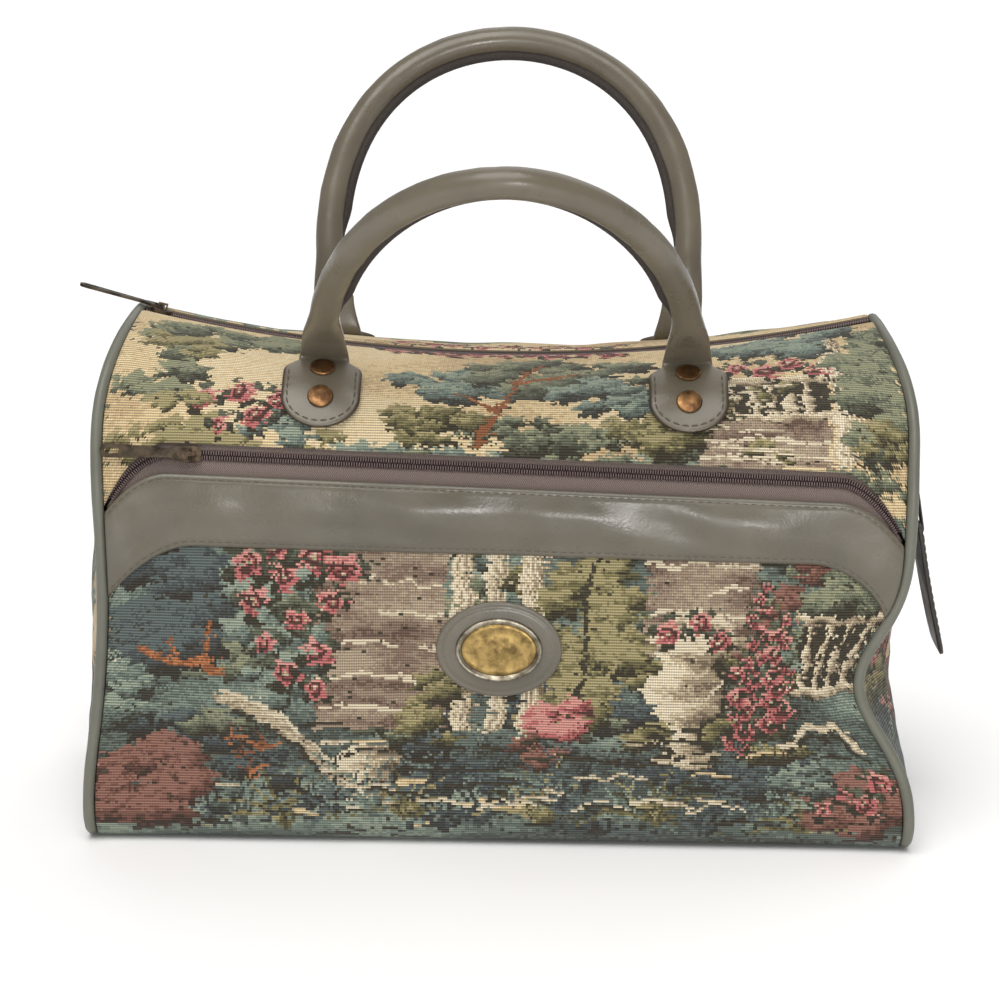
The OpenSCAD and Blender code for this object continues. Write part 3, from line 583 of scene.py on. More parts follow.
class Loom:
    def __init__(self, x, y, seed):
        self.shape, self.seed = x.shape, seed
        self.x, self.y = x, y = x.ravel(), y.ravel()
        self.row = np.round(y / RIB)
        step = np.floor(x / 3.6 + hashed(self.row, 0, seed) * 5)
        fine = hashed(np.floor(x / 1.2), self.row, seed + 2)
        self.dither = 0.65 * hashed(step, self.row, seed + 1) + 0.35 * fine
        self.xw = x + (hashed(self.row, 1, seed) - 0.5) * 1.8 + (noise(x, y, 8, seed) - 0.5) * 5
        self.yw = y + (noise(x, y, 8, seed + 9) - 0.5) * 4
        self.cloth = np.zeros((len(x), 4))
        self.random = np.random.default_rng(seed)

    def within(self, x0, x1, y0, y1):
        """The stitches of a box: their numbers and their places."""
        at = np.flatnonzero((self.xw > x0) & (self.xw < x1) & (self.yw > y0) & (self.yw < y1))
        return at, self.xw[at], self.yw[at]

    def lay(self, at, yarns, value, plain=0.0, mixed=0.42):
        k = np.clip(value + mixed * (self.dither[at] - 0.5), 0, 0.999) * len(yarns)
        self.cloth[at, :3] = yarns[k.astype(int)]
        self.cloth[at, 3] = plain

    def ground(self, yarns, low, high, size=30):
        at, _, _ = self.within(-1e9, 1e9, low, high)
        self.lay(at, yarns, 0.2 + 0.7 * noise(self.x[at] * 0.5, self.y[at] * 1.6, size, self.seed + 4))

    def tree(self, cx, cy, rx, ry, yarns, n, r, light=0.5):
        """A crown of leaf blobs, laid from the top down, each dark below and light above."""
        g = self.random
        a, d = g.uniform(0, 2 * np.pi, n), np.sqrt(g.uniform(0, 1, n))
        spots = sorted(zip(cy + ry * d * np.sin(a), cx + rx * d * np.cos(a)), reverse=True)
        for py, px in spots:
            size, phase, tone = r * g.uniform(0.65, 1.3), g.uniform(0, 6.3), g.uniform(-0.14, 0.14)
            at, x, y = self.within(px - 1.2 * size, px + 1.2 * size, py - 0.9 * size, py + 0.9 * size)
            dx, dy = (x - px) / size, (y - py) / (size * 0.72)
            m = dx**2 + dy**2 < (1 + 0.2 * np.sin(6 * np.arctan2(dy, dx) + phase)) ** 2
            self.lay(at[m], yarns, (light + tone + 0.52 * dy - 0.22 * dx)[m], mixed=0.5)

    def clumps(self, box, yarns, n, r, light=0.45):
        """Small tufts of leaves scattered over a box of the cloth."""
        for _ in range(n):
            cx, cy = self.random.uniform(box[0], box[1]), self.random.uniform(box[2], box[3])
            self.tree(cx, cy, 2.2 * r, r, yarns, 7, r * self.random.uniform(0.6, 1.0), light)

    def stroke(self, points, width, yarns, light=0.6, taper=0.0):
        points = np.array(points, float)
        (x0, y0), (x1, y1) = points.min(0) - width, points.max(0) + width
        at, x, y = self.within(x0, x1, y0, y1)
        best, along = np.full(len(at), 1e9), np.zeros(len(at))
        for k, (a, b) in enumerate(zip(points[:-1], points[1:])):
            d = b - a
            t = np.clip(((x - a[0]) * d[0] + (y - a[1]) * d[1]) / (d @ d), 0, 1)
            far = np.hypot(x - a[0] - t * d[0], y - a[1] - t * d[1])
            near = far < best
            best, along = np.where(near, far, best), np.where(near, (k + t) / (len(points) - 1), along)
        m = best < width / 2 * (1 - taper * along)
        self.lay(at[m], yarns, (light - 0.25 * best / width)[m])

    def glints(self, box, yarns, n, light):
        """Short level strokes, as of light on water or dry grass."""
        for _ in range(n):
            cx, cy = self.random.uniform(box[0], box[1]), self.random.uniform(box[2], box[3])
            half = self.random.uniform(4, 15)
            crest = cy + self.random.uniform(-1, 2)
            self.stroke([(cx - half, cy), (cx, crest), (cx + half, cy)], 2.0, yarns, light, 0.4)

    def rose(self, px, py, r):
        at, x, y = self.within(px - 2 * r, px + 2 * r, py - 2 * r, py + 2 * r)
        dx, dy = x - px, y - py
        d, a = np.hypot(dx, dy) / r, np.arctan2(dy, dx)
        turn = self.random.uniform(0, 6.3)
        leaf = (d < 1.7) & (np.sin(4 * a + turn) > 0.1)
        self.lay(at[leaf], LEAF, (0.25 + 0.2 * np.sin(a))[leaf])
        petal = d < 1 + 0.12 * np.sin(5 * a + turn)
        self.lay(at[petal], ROSE, (0.35 + 0.42 * d + 0.18 * np.sin(a))[petal])
        self.lay(at[(d < 0.78) & (np.abs(d - 0.5 - 0.1 * np.sin(2 * a + turn)) < 0.13)], ROSE, 0.0)
        self.lay(at[d < 0.2], STONE, 0.7)

    def roses(self, spots, r):
        for px, py in spots:
            self.rose(px, py, r * self.random.uniform(0.8, 1.2))

    def wall(self, x0, x1, y0, y1, course=17.0):
        at, x, y = self.within(x0, x1, y0, y1)
        self.lay(at, BRICK, 0.15 + 0.85 * noise(x * 0.35, y * 1.7, 9, self.seed + 5), 1.0)
        for k in range(int((y1 - y0) / course)):
            uneven = 1.4 * np.floor(noise(x, y * 0, 11, k) * 3)
            line = y0 + course * (k + 0.6) - 0.6 * np.floor((x - x0) / 15) + uneven
            lit = (np.abs(y - line) < 1.0) & (noise(x, y * 0 + k * 40, 16, 3) > 0.3)
            self.lay(at[lit], STONE, 0.95)

    def pillar(self, cx, w, y0, y1):
        at, x, _ = self.within(cx - w / 2, cx + w / 2, y0, y1)
        self.lay(at, STONE, 0.72 - 0.45 * (x - cx) / w + 0.22 * np.cos((x - cx) * 1.9), 1.0)

    def turned(self, cx, y0, h, shape):
        """A turned piece of stone: shape gives its half width at shares of its height."""
        wide = max(shape)
        at, x, y = self.within(cx - wide, cx + wide, y0, y0 + h)
        t = (y - y0) / h
        half = np.interp(t, np.linspace(0, 1, len(shape)), shape)
        across = (x - cx) / half
        m = np.abs(across) < 1
        self.lay(at[m], STONE, (0.62 - 0.42 * across + 0.14 * np.sin(t * 26))[m], 0.6)
        self.lay(at[m & (across > 0.72)], INK, 0.4)

    def railing(self, x0, x1, y0, h, gap=11.0):
        self.lay(self.within(x0, x1, y0, y0 + h)[0], INK, 0.5)
        for cx in np.arange(x0 + gap / 2, x1, gap):
            self.turned(cx, y0, h, [3.4, 2.0, 4.4, 4.0, 1.8, 1.6, 3.2])
        for low, high in ((y0 - 5, y0), (y0 + h, y0 + h + 6)):
            at, _, y = self.within(x0 - 4, x1 + 4, low, high)
            self.lay(at, STONE, 0.35 + 0.6 * (y - low) / (high - low), 1.0)

    def tuft(self, cx, cy, n, length, yarns, spread=1.0, width=3.2):
        for a in np.linspace(-spread, spread, n) + self.random.uniform(-0.1, 0.1, n):
            tip = length * self.random.uniform(0.7, 1.15)
            t = np.array([0, 0.35, 0.7, 1])
            blade_x = cx + tip * t * np.sin(a * (0.5 + 0.6 * t))
            blade_y = cy + tip * t * np.cos(a * (0.5 + 0.8 * t))
            bend = np.stack([blade_x, blade_y], -1)
            self.stroke(bend, width, yarns, self.random.uniform(0.25, 0.95), 0.75)

    def spire(self, cx, y0, h):
        self.stroke([(cx, y0 - 8), (cx, y0 + h)], 2.4, OLIVE, 0.4)
        for k in range(int(h / 6)):
            self.rose(cx + (2.5 if k % 2 else -2.5), y0 + 6 * k, 6.2 - 3.4 * 6 * k / h)

    def woven(self):
        """Feathers the drawing along the rows, sets dark binding stitches in it, and gives the cloth."""
        cloth = self.cloth.reshape(self.shape + (4,))
        for shift, seed in ((2, 31), (-2, 32), (4, 33)):
            step = np.floor(self.x / 5.0 + hashed(self.row, 2, seed) * 3)
            streak = (hashed(step, self.row, seed + self.seed) < 0.06).reshape(self.shape)
            cloth[streak] = np.roll(cloth, shift, axis=0)[streak]
        tick = hashed(np.floor(self.x / 2.4 + hashed(self.row, 3, 41) * 2), self.row, 42 + self.seed) < 0.012
        self.lay(np.flatnonzero(tick & (self.cloth[:, :3].sum(-1) < 1.15)), INK, 0.5)
        return self.cloth.reshape(self.shape + (4,))


# %% [markdown]
# The drawing is laid from far to near, sky first and grass last, in the bag's own places: x across
# and y up the cloth from the floor. Each row of a table names a motif and gives its sizes. The back
# has the same garden turned round, the base carries both on, and the ends have a thicket.

# %% The garden
UPPER = [  # above the pocket zip
    ("ground", SKY, -300, 400, 34),
    ("ground", TEAL, -300, 182, 26),
    ("clumps", (-205, 205, 160, 204), TEAL, 16, 10, 0.46),
    ("clumps", (-205, 205, 156, 206), LEAF, 22, 9, 0.5),
    ("clumps", (-205, -60, 206, 222), OLIVE, 6, 8, 0.78),
    ("clumps", (-60, 100, 206, 228), LEAF, 6, 8, 0.55),
    ("tree", -184, 268, 20, 34, LEAF, 14, 11, 0.68),
    ("tree", -150, 298, 44, 12, LEAF, 16, 10, 0.6),
    ("tree", -116, 226, 16, 12, TEAL, 9, 8, 0.55),
    ("roses", [(-158, 240), (-138, 246), (-128, 230), (-146, 224), (-118, 240)], 6.5),
    ("tree", -22, 258, 34, 14, TEAL, 20, 10, 0.42),
    ("tree", 30, 272, 46, 20, LEAF, 34, 11, 0.42),
    ("tree", 58, 250, 34, 14, TEAL, 22, 9, 0.38),
    ("tree", -40, 226, 26, 10, OLIVE, 18, 8, 0.42),
    ("tree", 12, 222, 30, 9, LEAF, 18, 7, 0.34),
    ("stroke", [(-14, 216), (-4, 236), (6, 262), (22, 290)], 4.5, RUST, 0.5, 0.5),
    ("stroke", [(-4, 236), (-24, 250)], 3, RUST, 0.6, 0.6),
    ("stroke", [(6, 262), (40, 274)], 3, RUST, 0.6, 0.6),
    ("tree", 80, 226, 22, 12, OLIVE, 18, 8, 0.5),
    ("wall", 102, 168, 206, 232, 9),
    ("railing", 104, 168, 236, 20, 10),
    ("roses", [(112, 266), (126, 272), (140, 268), (153, 274), (166, 266)], 6.5),
    ("pillar", 176, 12, 206, 300),
    ("tree", 194, 254, 18, 46, LEAF, 30, 12, 0.48),
    ("tree", 150, 300, 40, 14, TEAL, 20, 11, 0.5),
    ("clumps", (-200, -120, 236, 290), OLIVE, 3, 7, 0.8),
    ("clumps", (100, 206, 208, 250), OLIVE, 7, 7, 0.5),
    ("glints", (100, 172, 206, 262), STONE, 14, 0.9),
    ("roses", [(-62 + 15 * k, 309 + 4 * (k % 2)) for k in range(9)], 6),
]
POCKET = [  # the pocket front
    ("clumps", (-200, 200, 20, 110), NAVY, 26, 9, 0.42),
    ("clumps", (-150, 190, 60, 160), LEAF, 16, 9, 0.5),
    ("clumps", (20, 200, 60, 165), OLIVE, 14, 8, 0.46),
    ("clumps", (110, 200, 100, 165), BUSH, 7, 8, 0.5),
    ("tree", -178, 132, 32, 34, NAVY, 40, 14, 0.5),
    ("tree", -196, 84, 14, 18, TEAL, 10, 10),
    ("stroke", [(-188, 106), (-170, 98), (-156, 102), (-146, 94)], 4.6, RUST, 0.7, 0.3),
    ("stroke", [(-170, 98), (-174, 114)], 3.4, RUST, 0.7, 0.4),
    ("stroke", [(-156, 102), (-150, 120)], 3.4, RUST, 0.7, 0.4),
    ("wall", -96, -28, 66, 172),
    ("tree", -116, 122, 24, 46, TEAL, 34, 9, 0.56),
    ("tree", -104, 148, 20, 20, LEAF, 18, 8, 0.5),
    ("roses", [(-128, 134), (-112, 146), (-122, 112), (-104, 124), (-110, 96), (-96, 108)], 7),
    ("roses", [(-88, 134), (-98, 156), (-118, 160), (-82, 150), (-94, 88), (-132, 152)], 7),
    ("stroke", [(-126, 62), (-112, 80), (-104, 100)], 2.6, INK, 0.5),
    ("pillar", -20, 11, 64, 176),
    ("pillar", -2, 8, 64, 176),
    ("pillar", 16, 12, 60, 176),
    ("tree", -34, 76, 12, 20, OLIVE, 16, 7, 0.42),
    ("tree", 48, 118, 22, 44, OLIVE, 46, 10, 0.56),
    ("stroke", [(40, 80), (46, 110), (42, 140), (50, 160)], 3.6, INK, 0.6, 0.4),
    ("stroke", [(56, 84), (60, 116), (58, 146)], 3.2, OLIVE, 0.95, 0.4),
    ("tree", 30, 70, 15, 12, ROSE, 16, 7, 0.6),
    ("tree", 20, 54, 12, 8, BUSH, 10, 6, 0.5),
    ("wall", 74, 132, 108, 170, 13),
    ("turned", 98, 46, 66, [15, 15, 12, 6, 6, 13, 21, 24, 25, 23, 14, 18, 19]),
    ("tree", 98, 118, 20, 9, STONE, 18, 7, 0.72),
    ("roses", [(86, 120), (104, 124), (114, 116)], 5.5),
    ("stroke", [(80, 96), (88, 84), (104, 82), (116, 94)], 2.0, STONE, 0.98),
    ("spire", 134, 66, 84),
    ("spire", 146, 72, 62),
    ("spire", 126, 62, 48),
    ("railing", 158, 204, 92, 34, 12),
    ("tree", 182, 142, 22, 12, LEAF, 22, 8, 0.46),
    ("stroke", [(150, 60), (166, 72), (184, 70), (196, 58)], 4, STONE, 0.85),
    ("stroke", [(150, 56), (166, 66), (184, 64), (196, 52)], 2.4, INK, 0.5),
]
STEP = [  # a stone step at the foot
    ("stroke", [(-146, 82), (-126, 76), (-108, 62), (-94, 46), (-80, 34)], 8, STONE, 0.72),
    ("stroke", [(-146, 86), (-126, 80), (-106, 66), (-92, 50), (-78, 40)], 2.2, STONE, 0.99),
    ("stroke", [(-140, 74), (-122, 68), (-106, 54), (-94, 40)], 2.2, INK, 0.6),
    ("turned", -66, 20, 36, [16, 17, 10, 6, 11, 17, 19, 18, 13]),
]
FOOT = [  # light on the grass, bushes in the corners
    ("glints", (-150, 170, 18, 60), STONE, 18, 0.8),
    ("glints", (-150, 170, 6, 70), SKY, 8, 0.6),
    ("glints", (-160, 180, 2, 70), INK, 60, 0.5),
    ("tree", -184, 34, 26, 26, BUSH, 52, 8, 0.5),
    ("tree", 184, 26, 26, 18, BUSH, 40, 8, 0.56),
    ("roses", [(176, 34), (190, 28), (168, 24), (196, 40)], 5),
    ("tree", 160, 40, 14, 8, TEAL, 10, 7, 0.4),
]


def work(g, rows):
    for motif, *sizes in rows:
        getattr(g, motif)(*sizes)


def garden(x, y, seed=1):
    g = Loom(x, y, seed)
    work(g, UPPER + POCKET + STEP)
    for k, cx in enumerate(range(-150, 160, 17)):
        px, py = cx + g.random.uniform(-5, 5), 6 + g.random.uniform(0, 14)
        g.tuft(px, py, 8, 28 + 8 * (k % 3), (NAVY, TEAL, OLIVE, NAVY)[k % 4], 1.25)
    for cx, cy in ((-118, 40), (-36, 36), (-8, 30), (44, 34), (74, 38), (120, 36)):
        g.tuft(cx, cy, 6, 24, NAVY, 1.0, 2.8)
    for cx in (-30, 2, 52, 84, 112):
        g.stroke([(cx - 14, 24 + g.random.uniform(-4, 4)), (cx, 27), (cx + 16, 23)], 2, STONE, 0.98, 0.3)
    for cx, cy in ((-140, 58), (-134, 48), (-124, 54), (-128, 38)):
        g.tuft(cx, cy, 3, 10, RUST, 0.9, 3.2)
    work(g, FOOT)
    return g.woven()


def thicket(x, y, seed):
    g = Loom(x, y, seed)
    g.ground(SKY, -200, 500, 30)
    g.ground(TEAL, -200, 90, 24)
    r = g.random
    for k, yarns in enumerate((LEAF, TEAL, OLIVE, NAVY, LEAF, TEAL, OLIVE, BUSH, NAVY)):
        for _ in range(3):
            g.tree(r.uniform(-100, 100), 250 - 26 * k + r.uniform(-16, 16), 30, 15, yarns, 16, 10, 0.48)
    g.roses([(r.uniform(-85, 85), r.uniform(30, 240)) for _ in range(16)], 7)
    for _ in range(14):
        g.tuft(r.uniform(-90, 90), r.uniform(0, 60), 6, 24, (NAVY, TEAL, OLIVE)[_ % 3], 1.2)
    return g.woven()


# %% [markdown]
# Each wall of the bag is a fine grid on the skin, one face for each stitch, thickened inwards to a
# cloth. Rows follow the edges that the panel is cut to, and the flat place of every point gives
# both its colour and its weave.

# %% Wrap panels
def wrap_panel(name, low, high, side, nodes, stitch, picture, seed, foot=False):
    u = np.linspace(-WRAP_END, WRAP_END, int(2 * HALF_W / stitch[0]) + 1)
    ql, qh = low(u * HALF_W), high(u * HALF_W)
    t = np.linspace(0, 1, int(np.max(qh - ql) / stitch[1]) + 1)
    q = ql[:, None] + (qh - ql)[:, None] * t
    uu = np.broadcast_to(u[:, None], q.shape)
    x = uu * HALF_W
    puff = ripple(x, q, side, seed)
    edge = np.minimum(q - ql[:, None] + (9 if foot else 0), qh[:, None] - q)
    turned = 0.7 * (1 - smooth(0, 2.6, edge))
    outer = slump(skin_at(uu, q, side, puff - turned))
    inner = slump(skin_at(uu, q, side, puff - CLOTH + turned * 0.3))
    piece = slab(name, outer, inner, tapestry)
    middle = lambda a: (a[:-1, :-1] + a[1:, 1:]) / 2
    paint(piece, picture(middle(x), middle(q) + VAULT_Z).reshape(-1, 4))
    flat = np.stack([x, q + VAULT_Z], -1).reshape(-1, 2)
    lay_flat(piece, np.concatenate([flat, flat]))
    return done(piece, nodes)


FINE, COARSE = (1.2, 1.45), (1.6, 1.85)
upper_front = wrap_panel(
    "tapestry_upper_front",
    lambda x: q_of(upper_edge(x)),
    lambda x: Q_TOP - 4 + 0 * x,
    -1, ["upper_front_panel"], FINE, garden, 11,
)
pocket_front = wrap_panel(
    "tapestry_pocket_front",
    lambda x: Q_FOOT + FIT + 0 * x,
    lambda x: q_of(band_top(x) - FIT),
    -1, ["pocket_panel"], FINE, garden, 12, True,
)
back = wrap_panel(
    "tapestry_back",
    lambda x: Q_FOOT + FIT + 0 * x,
    lambda x: Q_TOP + 0 * x,
    1, ["back_panel"], COARSE, lambda x, y: garden(-x, y, 5), 13, True,
)

# %% [markdown]
# The base cloth is flat on the floor and turns up round both long edges. The ends are set in: their
# rim follows the piping, and they swell outwards between. Their grid runs in straight rows from
# edge to edge, so that the weave stays level all the way up.

# %% Base and ends
LOWER_FLAT = DEPTH_R - BASE_R
TURN_LEN = BASE_R * math.pi / 2


def base_line(s, inset):
    """Across the underside: s from the front top edge of the turn to the back one."""
    turn = np.maximum(0, np.abs(s) - LOWER_FLAT) / BASE_R
    r = BASE_R - inset
    return np.sign(s) * (np.minimum(np.abs(s), LOWER_FLAT) + r * np.sin(turn)), BASE_R - r * np.cos(turn)


def base_cloth():
    half = LOWER_FLAT + TURN_LEN
    turn_rows = np.linspace(LOWER_FLAT, half, 14)
    flat_rows = np.linspace(-LOWER_FLAT, LOWER_FLAT, 21)[1:-1]
    s = np.concatenate([-turn_rows[::-1], flat_rows, turn_rows])
    u = np.linspace(-WRAP_END, WRAP_END, 200)
    grids = []
    for inset in (0.05, CLOTH):
        y, z = base_line(s, inset)
        grids.append(slump(np.stack(np.broadcast_arrays(u[:, None] * HALF_W, y[None], z[None]), -1)))
    piece = slab("tapestry_base", grids[0], grids[1], tapestry)
    x, y = np.meshgrid((u[1:] + u[:-1]) / 2 * HALF_W, (s[1:] + s[:-1]) / 2, indexing="ij")
    below = BASE_R - (half - np.abs(y))
    picture = np.where((y < 0)[..., None], garden(x, below), garden(-x, below, 5))
    paint(piece, picture.reshape(-1, 4))
    flat = np.stack(np.broadcast_arrays(u[:, None] * HALF_W, s[None]), -1).reshape(-1, 2)
    lay_flat(piece, np.concatenate([flat, flat]))
    return done(piece, ["base_panel"])


base = base_cloth()


def rim_points(inset_extra):
    half = LOWER_FLAT + TURN_LEN
    s = np.linspace(half, -half, 300, endpoint=False)
    turn = np.maximum(0, np.abs(s) - LOWER_FLAT) / BASE_R
    sunk = PIPING_R * np.cos(turn) + inset_extra
    r = BASE_R - sunk
    y = np.sign(s) * (np.minimum(np.abs(s), LOWER_FLAT) + r * np.sin(turn))
    under = np.stack([y, BASE_R - r * np.cos(turn), 0 * s], -1)
    wall = VAULT_Z - BASE_R
    run = wall + DEPTH_R * math.pi / 2
    v = np.linspace(-run, run, 700, endpoint=False)
    w = run - np.abs(v)
    phi = np.maximum(0, w - wall) / DEPTH_R
    sunk = 0.8 * PIPING_R * np.sin(phi) ** 6 + inset_extra
    side = np.where(v < 0, -1, 1)
    r = DEPTH_R - sunk
    z = np.minimum(BASE_R + w, VAULT_Z) + r * np.sin(phi)
    over = np.stack([side * r * np.cos(phi), z, np.degrees(phi)], -1)
    return np.concatenate([under, over])


END_MIDDLE_Z, END_SWELL = 0.46 * BODY_H, 6.0
RIM = rim_points(PIPING_R + FIT)
RIM_ANGLE = np.arctan2(RIM[:, 1] - END_MIDDLE_Z, RIM[:, 0])
ORDER = np.argsort(RIM_ANGLE)


def end_swelling(y, z):
    """Distance of an end's middle face from the middle of the bag."""
    a, r = np.arctan2(z - END_MIDDLE_Z, y), np.hypot(y, z - END_MIDDLE_Z)
    far = np.hypot(RIM[:, 0], RIM[:, 1] - END_MIDDLE_Z)
    reach = np.interp(a, RIM_ANGLE[ORDER], far[ORDER], period=2 * np.pi)
    lean = np.interp(a, RIM_ANGLE[ORDER], RIM[ORDER, 2], period=2 * np.pi)
    rho = np.minimum(r / reach, 1)
    return end_x(lean) * rho**2 + (HALF_W + END_SWELL) * (1 - rho**2)


def end_panel(side):
    right = RIM[RIM[:, 0] > 0]
    right = right[np.argsort(right[:, 1])]
    z = np.linspace(right[0, 1] + 0.05, right[-1, 1] - 0.3, 180)
    wide = np.interp(z, right[:, 1], right[:, 0])
    c = np.linspace(-1, 1, 124)
    y = wide[:, None] * c
    zz = np.broadcast_to(z[:, None], y.shape)
    seam = smooth(0, 14, wide[:, None] - np.abs(y))
    seam = seam * smooth(0, 12, z - z[0])[:, None] * smooth(0, 20, z[-1] - z)[:, None]
    seat = smooth(18, 34, np.hypot(y, zz - 238))
    broad, small = noise(y, zz * 0.7, 38, 40 + side) - 0.5, noise(y + zz, zz, 15, 43 + side) - 0.5
    puff = seam * seat * (3.4 * broad + 1.4 * small)
    x = end_swelling(y, zz) + puff
    grids = [slump(np.stack([side * (x + off), y, zz], -1)) for off in (CLOTH / 2, -CLOTH / 2)]
    hand = "left" if side < 0 else "right"
    piece = slab(f"tapestry_{hand}_end", grids[0], grids[1], tapestry)
    middle = lambda a: (a[:-1, :-1] + a[1:, 1:]) / 2
    paint(piece, thicket(middle(y), middle(zz), 20 + side).reshape(-1, 4))
    flat = np.stack([y, zz], -1).reshape(-1, 2)
    lay_flat(piece, np.concatenate([flat, flat]))
    done(piece, [f"{hand}_end_panel"])
    return piece


for side in (-1, 1):
    end_panel(side)

# %% [markdown]
# Piping is a cord wrapped in leatherette and caught in the seam. It is a tube along the rim of
# each end, and it shares the slump of the cloth so that the seam stays shut.

# %% Piping
def tube_rings(course, radius, sides=12, closed=True, up=(1, 0, 0)):
    if closed:
        ahead = unit(np.roll(course, -1, 0) - np.roll(course, 1, 0))
    else:
        ahead = unit(np.gradient(course, axis=0))
    a = unit(np.array(up, float) - ahead * (ahead @ np.array(up, float))[:, None])
    b = np.cross(ahead, a)
    k = np.linspace(0, 2 * np.pi, sides, endpoint=False)
    r = np.broadcast_to(np.asarray(radius, float), (len(course),))
    spoke = np.cos(k)[:, None] * a[:, None] + np.sin(k)[:, None] * b[:, None]
    return course[:, None] + r[:, None, None] * spoke


def spaced(course, step, closed=True):
    line = np.concatenate([course, course[:1]]) if closed else course
    far = np.concatenate([[0], np.cumsum(np.linalg.norm(np.diff(line, axis=0), axis=1))])
    n = max(2, int(round(far[-1] / step)))
    at = np.linspace(0, far[-1], n, endpoint=not closed)
    return np.stack([np.interp(at, far, line[:, k]) for k in range(line.shape[1])], -1)


def piping(side):
    rim = rim_points(0.0)
    course = np.stack([side * end_x(rim[:, 2]), rim[:, 0], np.maximum(rim[:, 1], PIPING_R)], -1)
    course = slump(spaced(course, 3.0))
    course[:, 2] = np.maximum(course[:, 2], 1.03 * PIPING_R)
    count = np.arange(len(course)) * 1.0
    lumps = PIPING_R * (1 + 0.05 * (noise(count, 0 * count, 3.0, 60 + side) - 0.5))
    hand = "left" if side < 0 else "right"
    piece = sweep(f"piping_{hand}", tube_rings(course, lumps), piping_skin, closed=True)
    return done(piece, [f"{hand}_piping"])


for side in (-1, 1):
    piping(side)

# %% [markdown]
# A band of leatherette covers the top of the pocket. It is cut in one piece, its edges are turned,
# and it lies on the cloth in long lazy waves that catch the light.

# %% Pocket band
def pocket_band():
    u = np.linspace(-WRAP_END, WRAP_END, 300)
    ql, qh = q_of(band_low(u * HALF_W)), q_of(band_top(u * HALF_W))
    t = np.linspace(0, 1, 44)
    q = ql[:, None] + (qh - ql)[:, None] * t
    uu = np.broadcast_to(u[:, None], q.shape)
    edge = np.minimum(q - ql[:, None], qh[:, None] - q)
    crown = -1.0 * (1 - smooth(0, 1.8, edge)) - 0.35 * np.exp(-(((edge - 2.6) / 0.8) ** 2))
    x = uu * HALF_W
    held = smooth(3, 14, edge) * smooth(0, 14, HALF_W * WRAP_END - np.abs(x))
    wave = 1.5 * np.sin(np.pi * t) + 3.4 * (noise(x + 1.3 * q, q * 0.45, 42, 71) - 0.5) * held
    puff = ripple(x, q, -1, 12)
    outer = slump(skin_at(uu, q, -1, 1.9 + crown + wave + puff))
    inner = slump(skin_at(uu, q, -1, 0.15 + puff))
    piece = slab("leatherette_band", outer, inner, leatherette)
    return done(piece, ["pocket_band"])


pocket_band()

# %% [markdown]
# A row of stitches is one small shape repeated along a line, which is work for Geometry Nodes. The
# tree takes a line of points, with the direction of the seam and of the cloth stored on each, and
# sets a short rounded bar of thread on every point.

# %% Repeats on points
def repeat_tree(name, shape):
    """Points with the attributes turn and size in, a plain mesh of repeated shapes out."""
    tree = bpy.data.node_groups.new(name, "GeometryNodeTree")
    tree.interface.new_socket("Points", in_out="INPUT", socket_type="NodeSocketGeometry")
    scale = tree.interface.new_socket("Scale", in_out="INPUT", socket_type="NodeSocketFloat")
    finish = tree.interface.new_socket("Finish", in_out="INPUT", socket_type="NodeSocketMaterial")
    tree.interface.new_socket("Mesh", in_out="OUTPUT", socket_type="NodeSocketGeometry")
    new = tree.nodes.new
    start, end = new("NodeGroupInput"), new("NodeGroupOutput")
    info = new("GeometryNodeObjectInfo")
    info.inputs["Object"].default_value = shape
    turn = new("GeometryNodeInputNamedAttribute")
    turn.data_type = "FLOAT_VECTOR"
    turn.inputs["Name"].default_value = "turn"
    size = new("GeometryNodeInputNamedAttribute")
    size.data_type = "FLOAT_VECTOR"
    size.inputs["Name"].default_value = "size"
    grow = new("ShaderNodeVectorMath")
    grow.operation = "SCALE"
    euler = new("FunctionNodeEulerToRotation")
    place, real = new("GeometryNodeInstanceOnPoints"), new("GeometryNodeRealizeInstances")
    dress = new("GeometryNodeSetMaterial")
    link = tree.links.new
    link(start.outputs["Points"], place.inputs["Points"])
    link(info.outputs["Geometry"], place.inputs["Instance"])
    link(turn.outputs["Attribute"], euler.inputs[0])
    link(euler.outputs[0], place.inputs["Rotation"])
    link(size.outputs["Attribute"], grow.inputs[0])
    link(start.outputs["Scale"], grow.inputs["Scale"])
    link(grow.outputs[0], place.inputs["Scale"])
    link(place.outputs[0], real.inputs[0])
    link(real.outputs[0], dress.inputs["Geometry"])
    link(start.outputs["Finish"], dress.inputs["Material"])
    link(dress.outputs[0], end.inputs[0])
    return tree, {"Scale": scale.identifier, "Finish": finish.identifier}


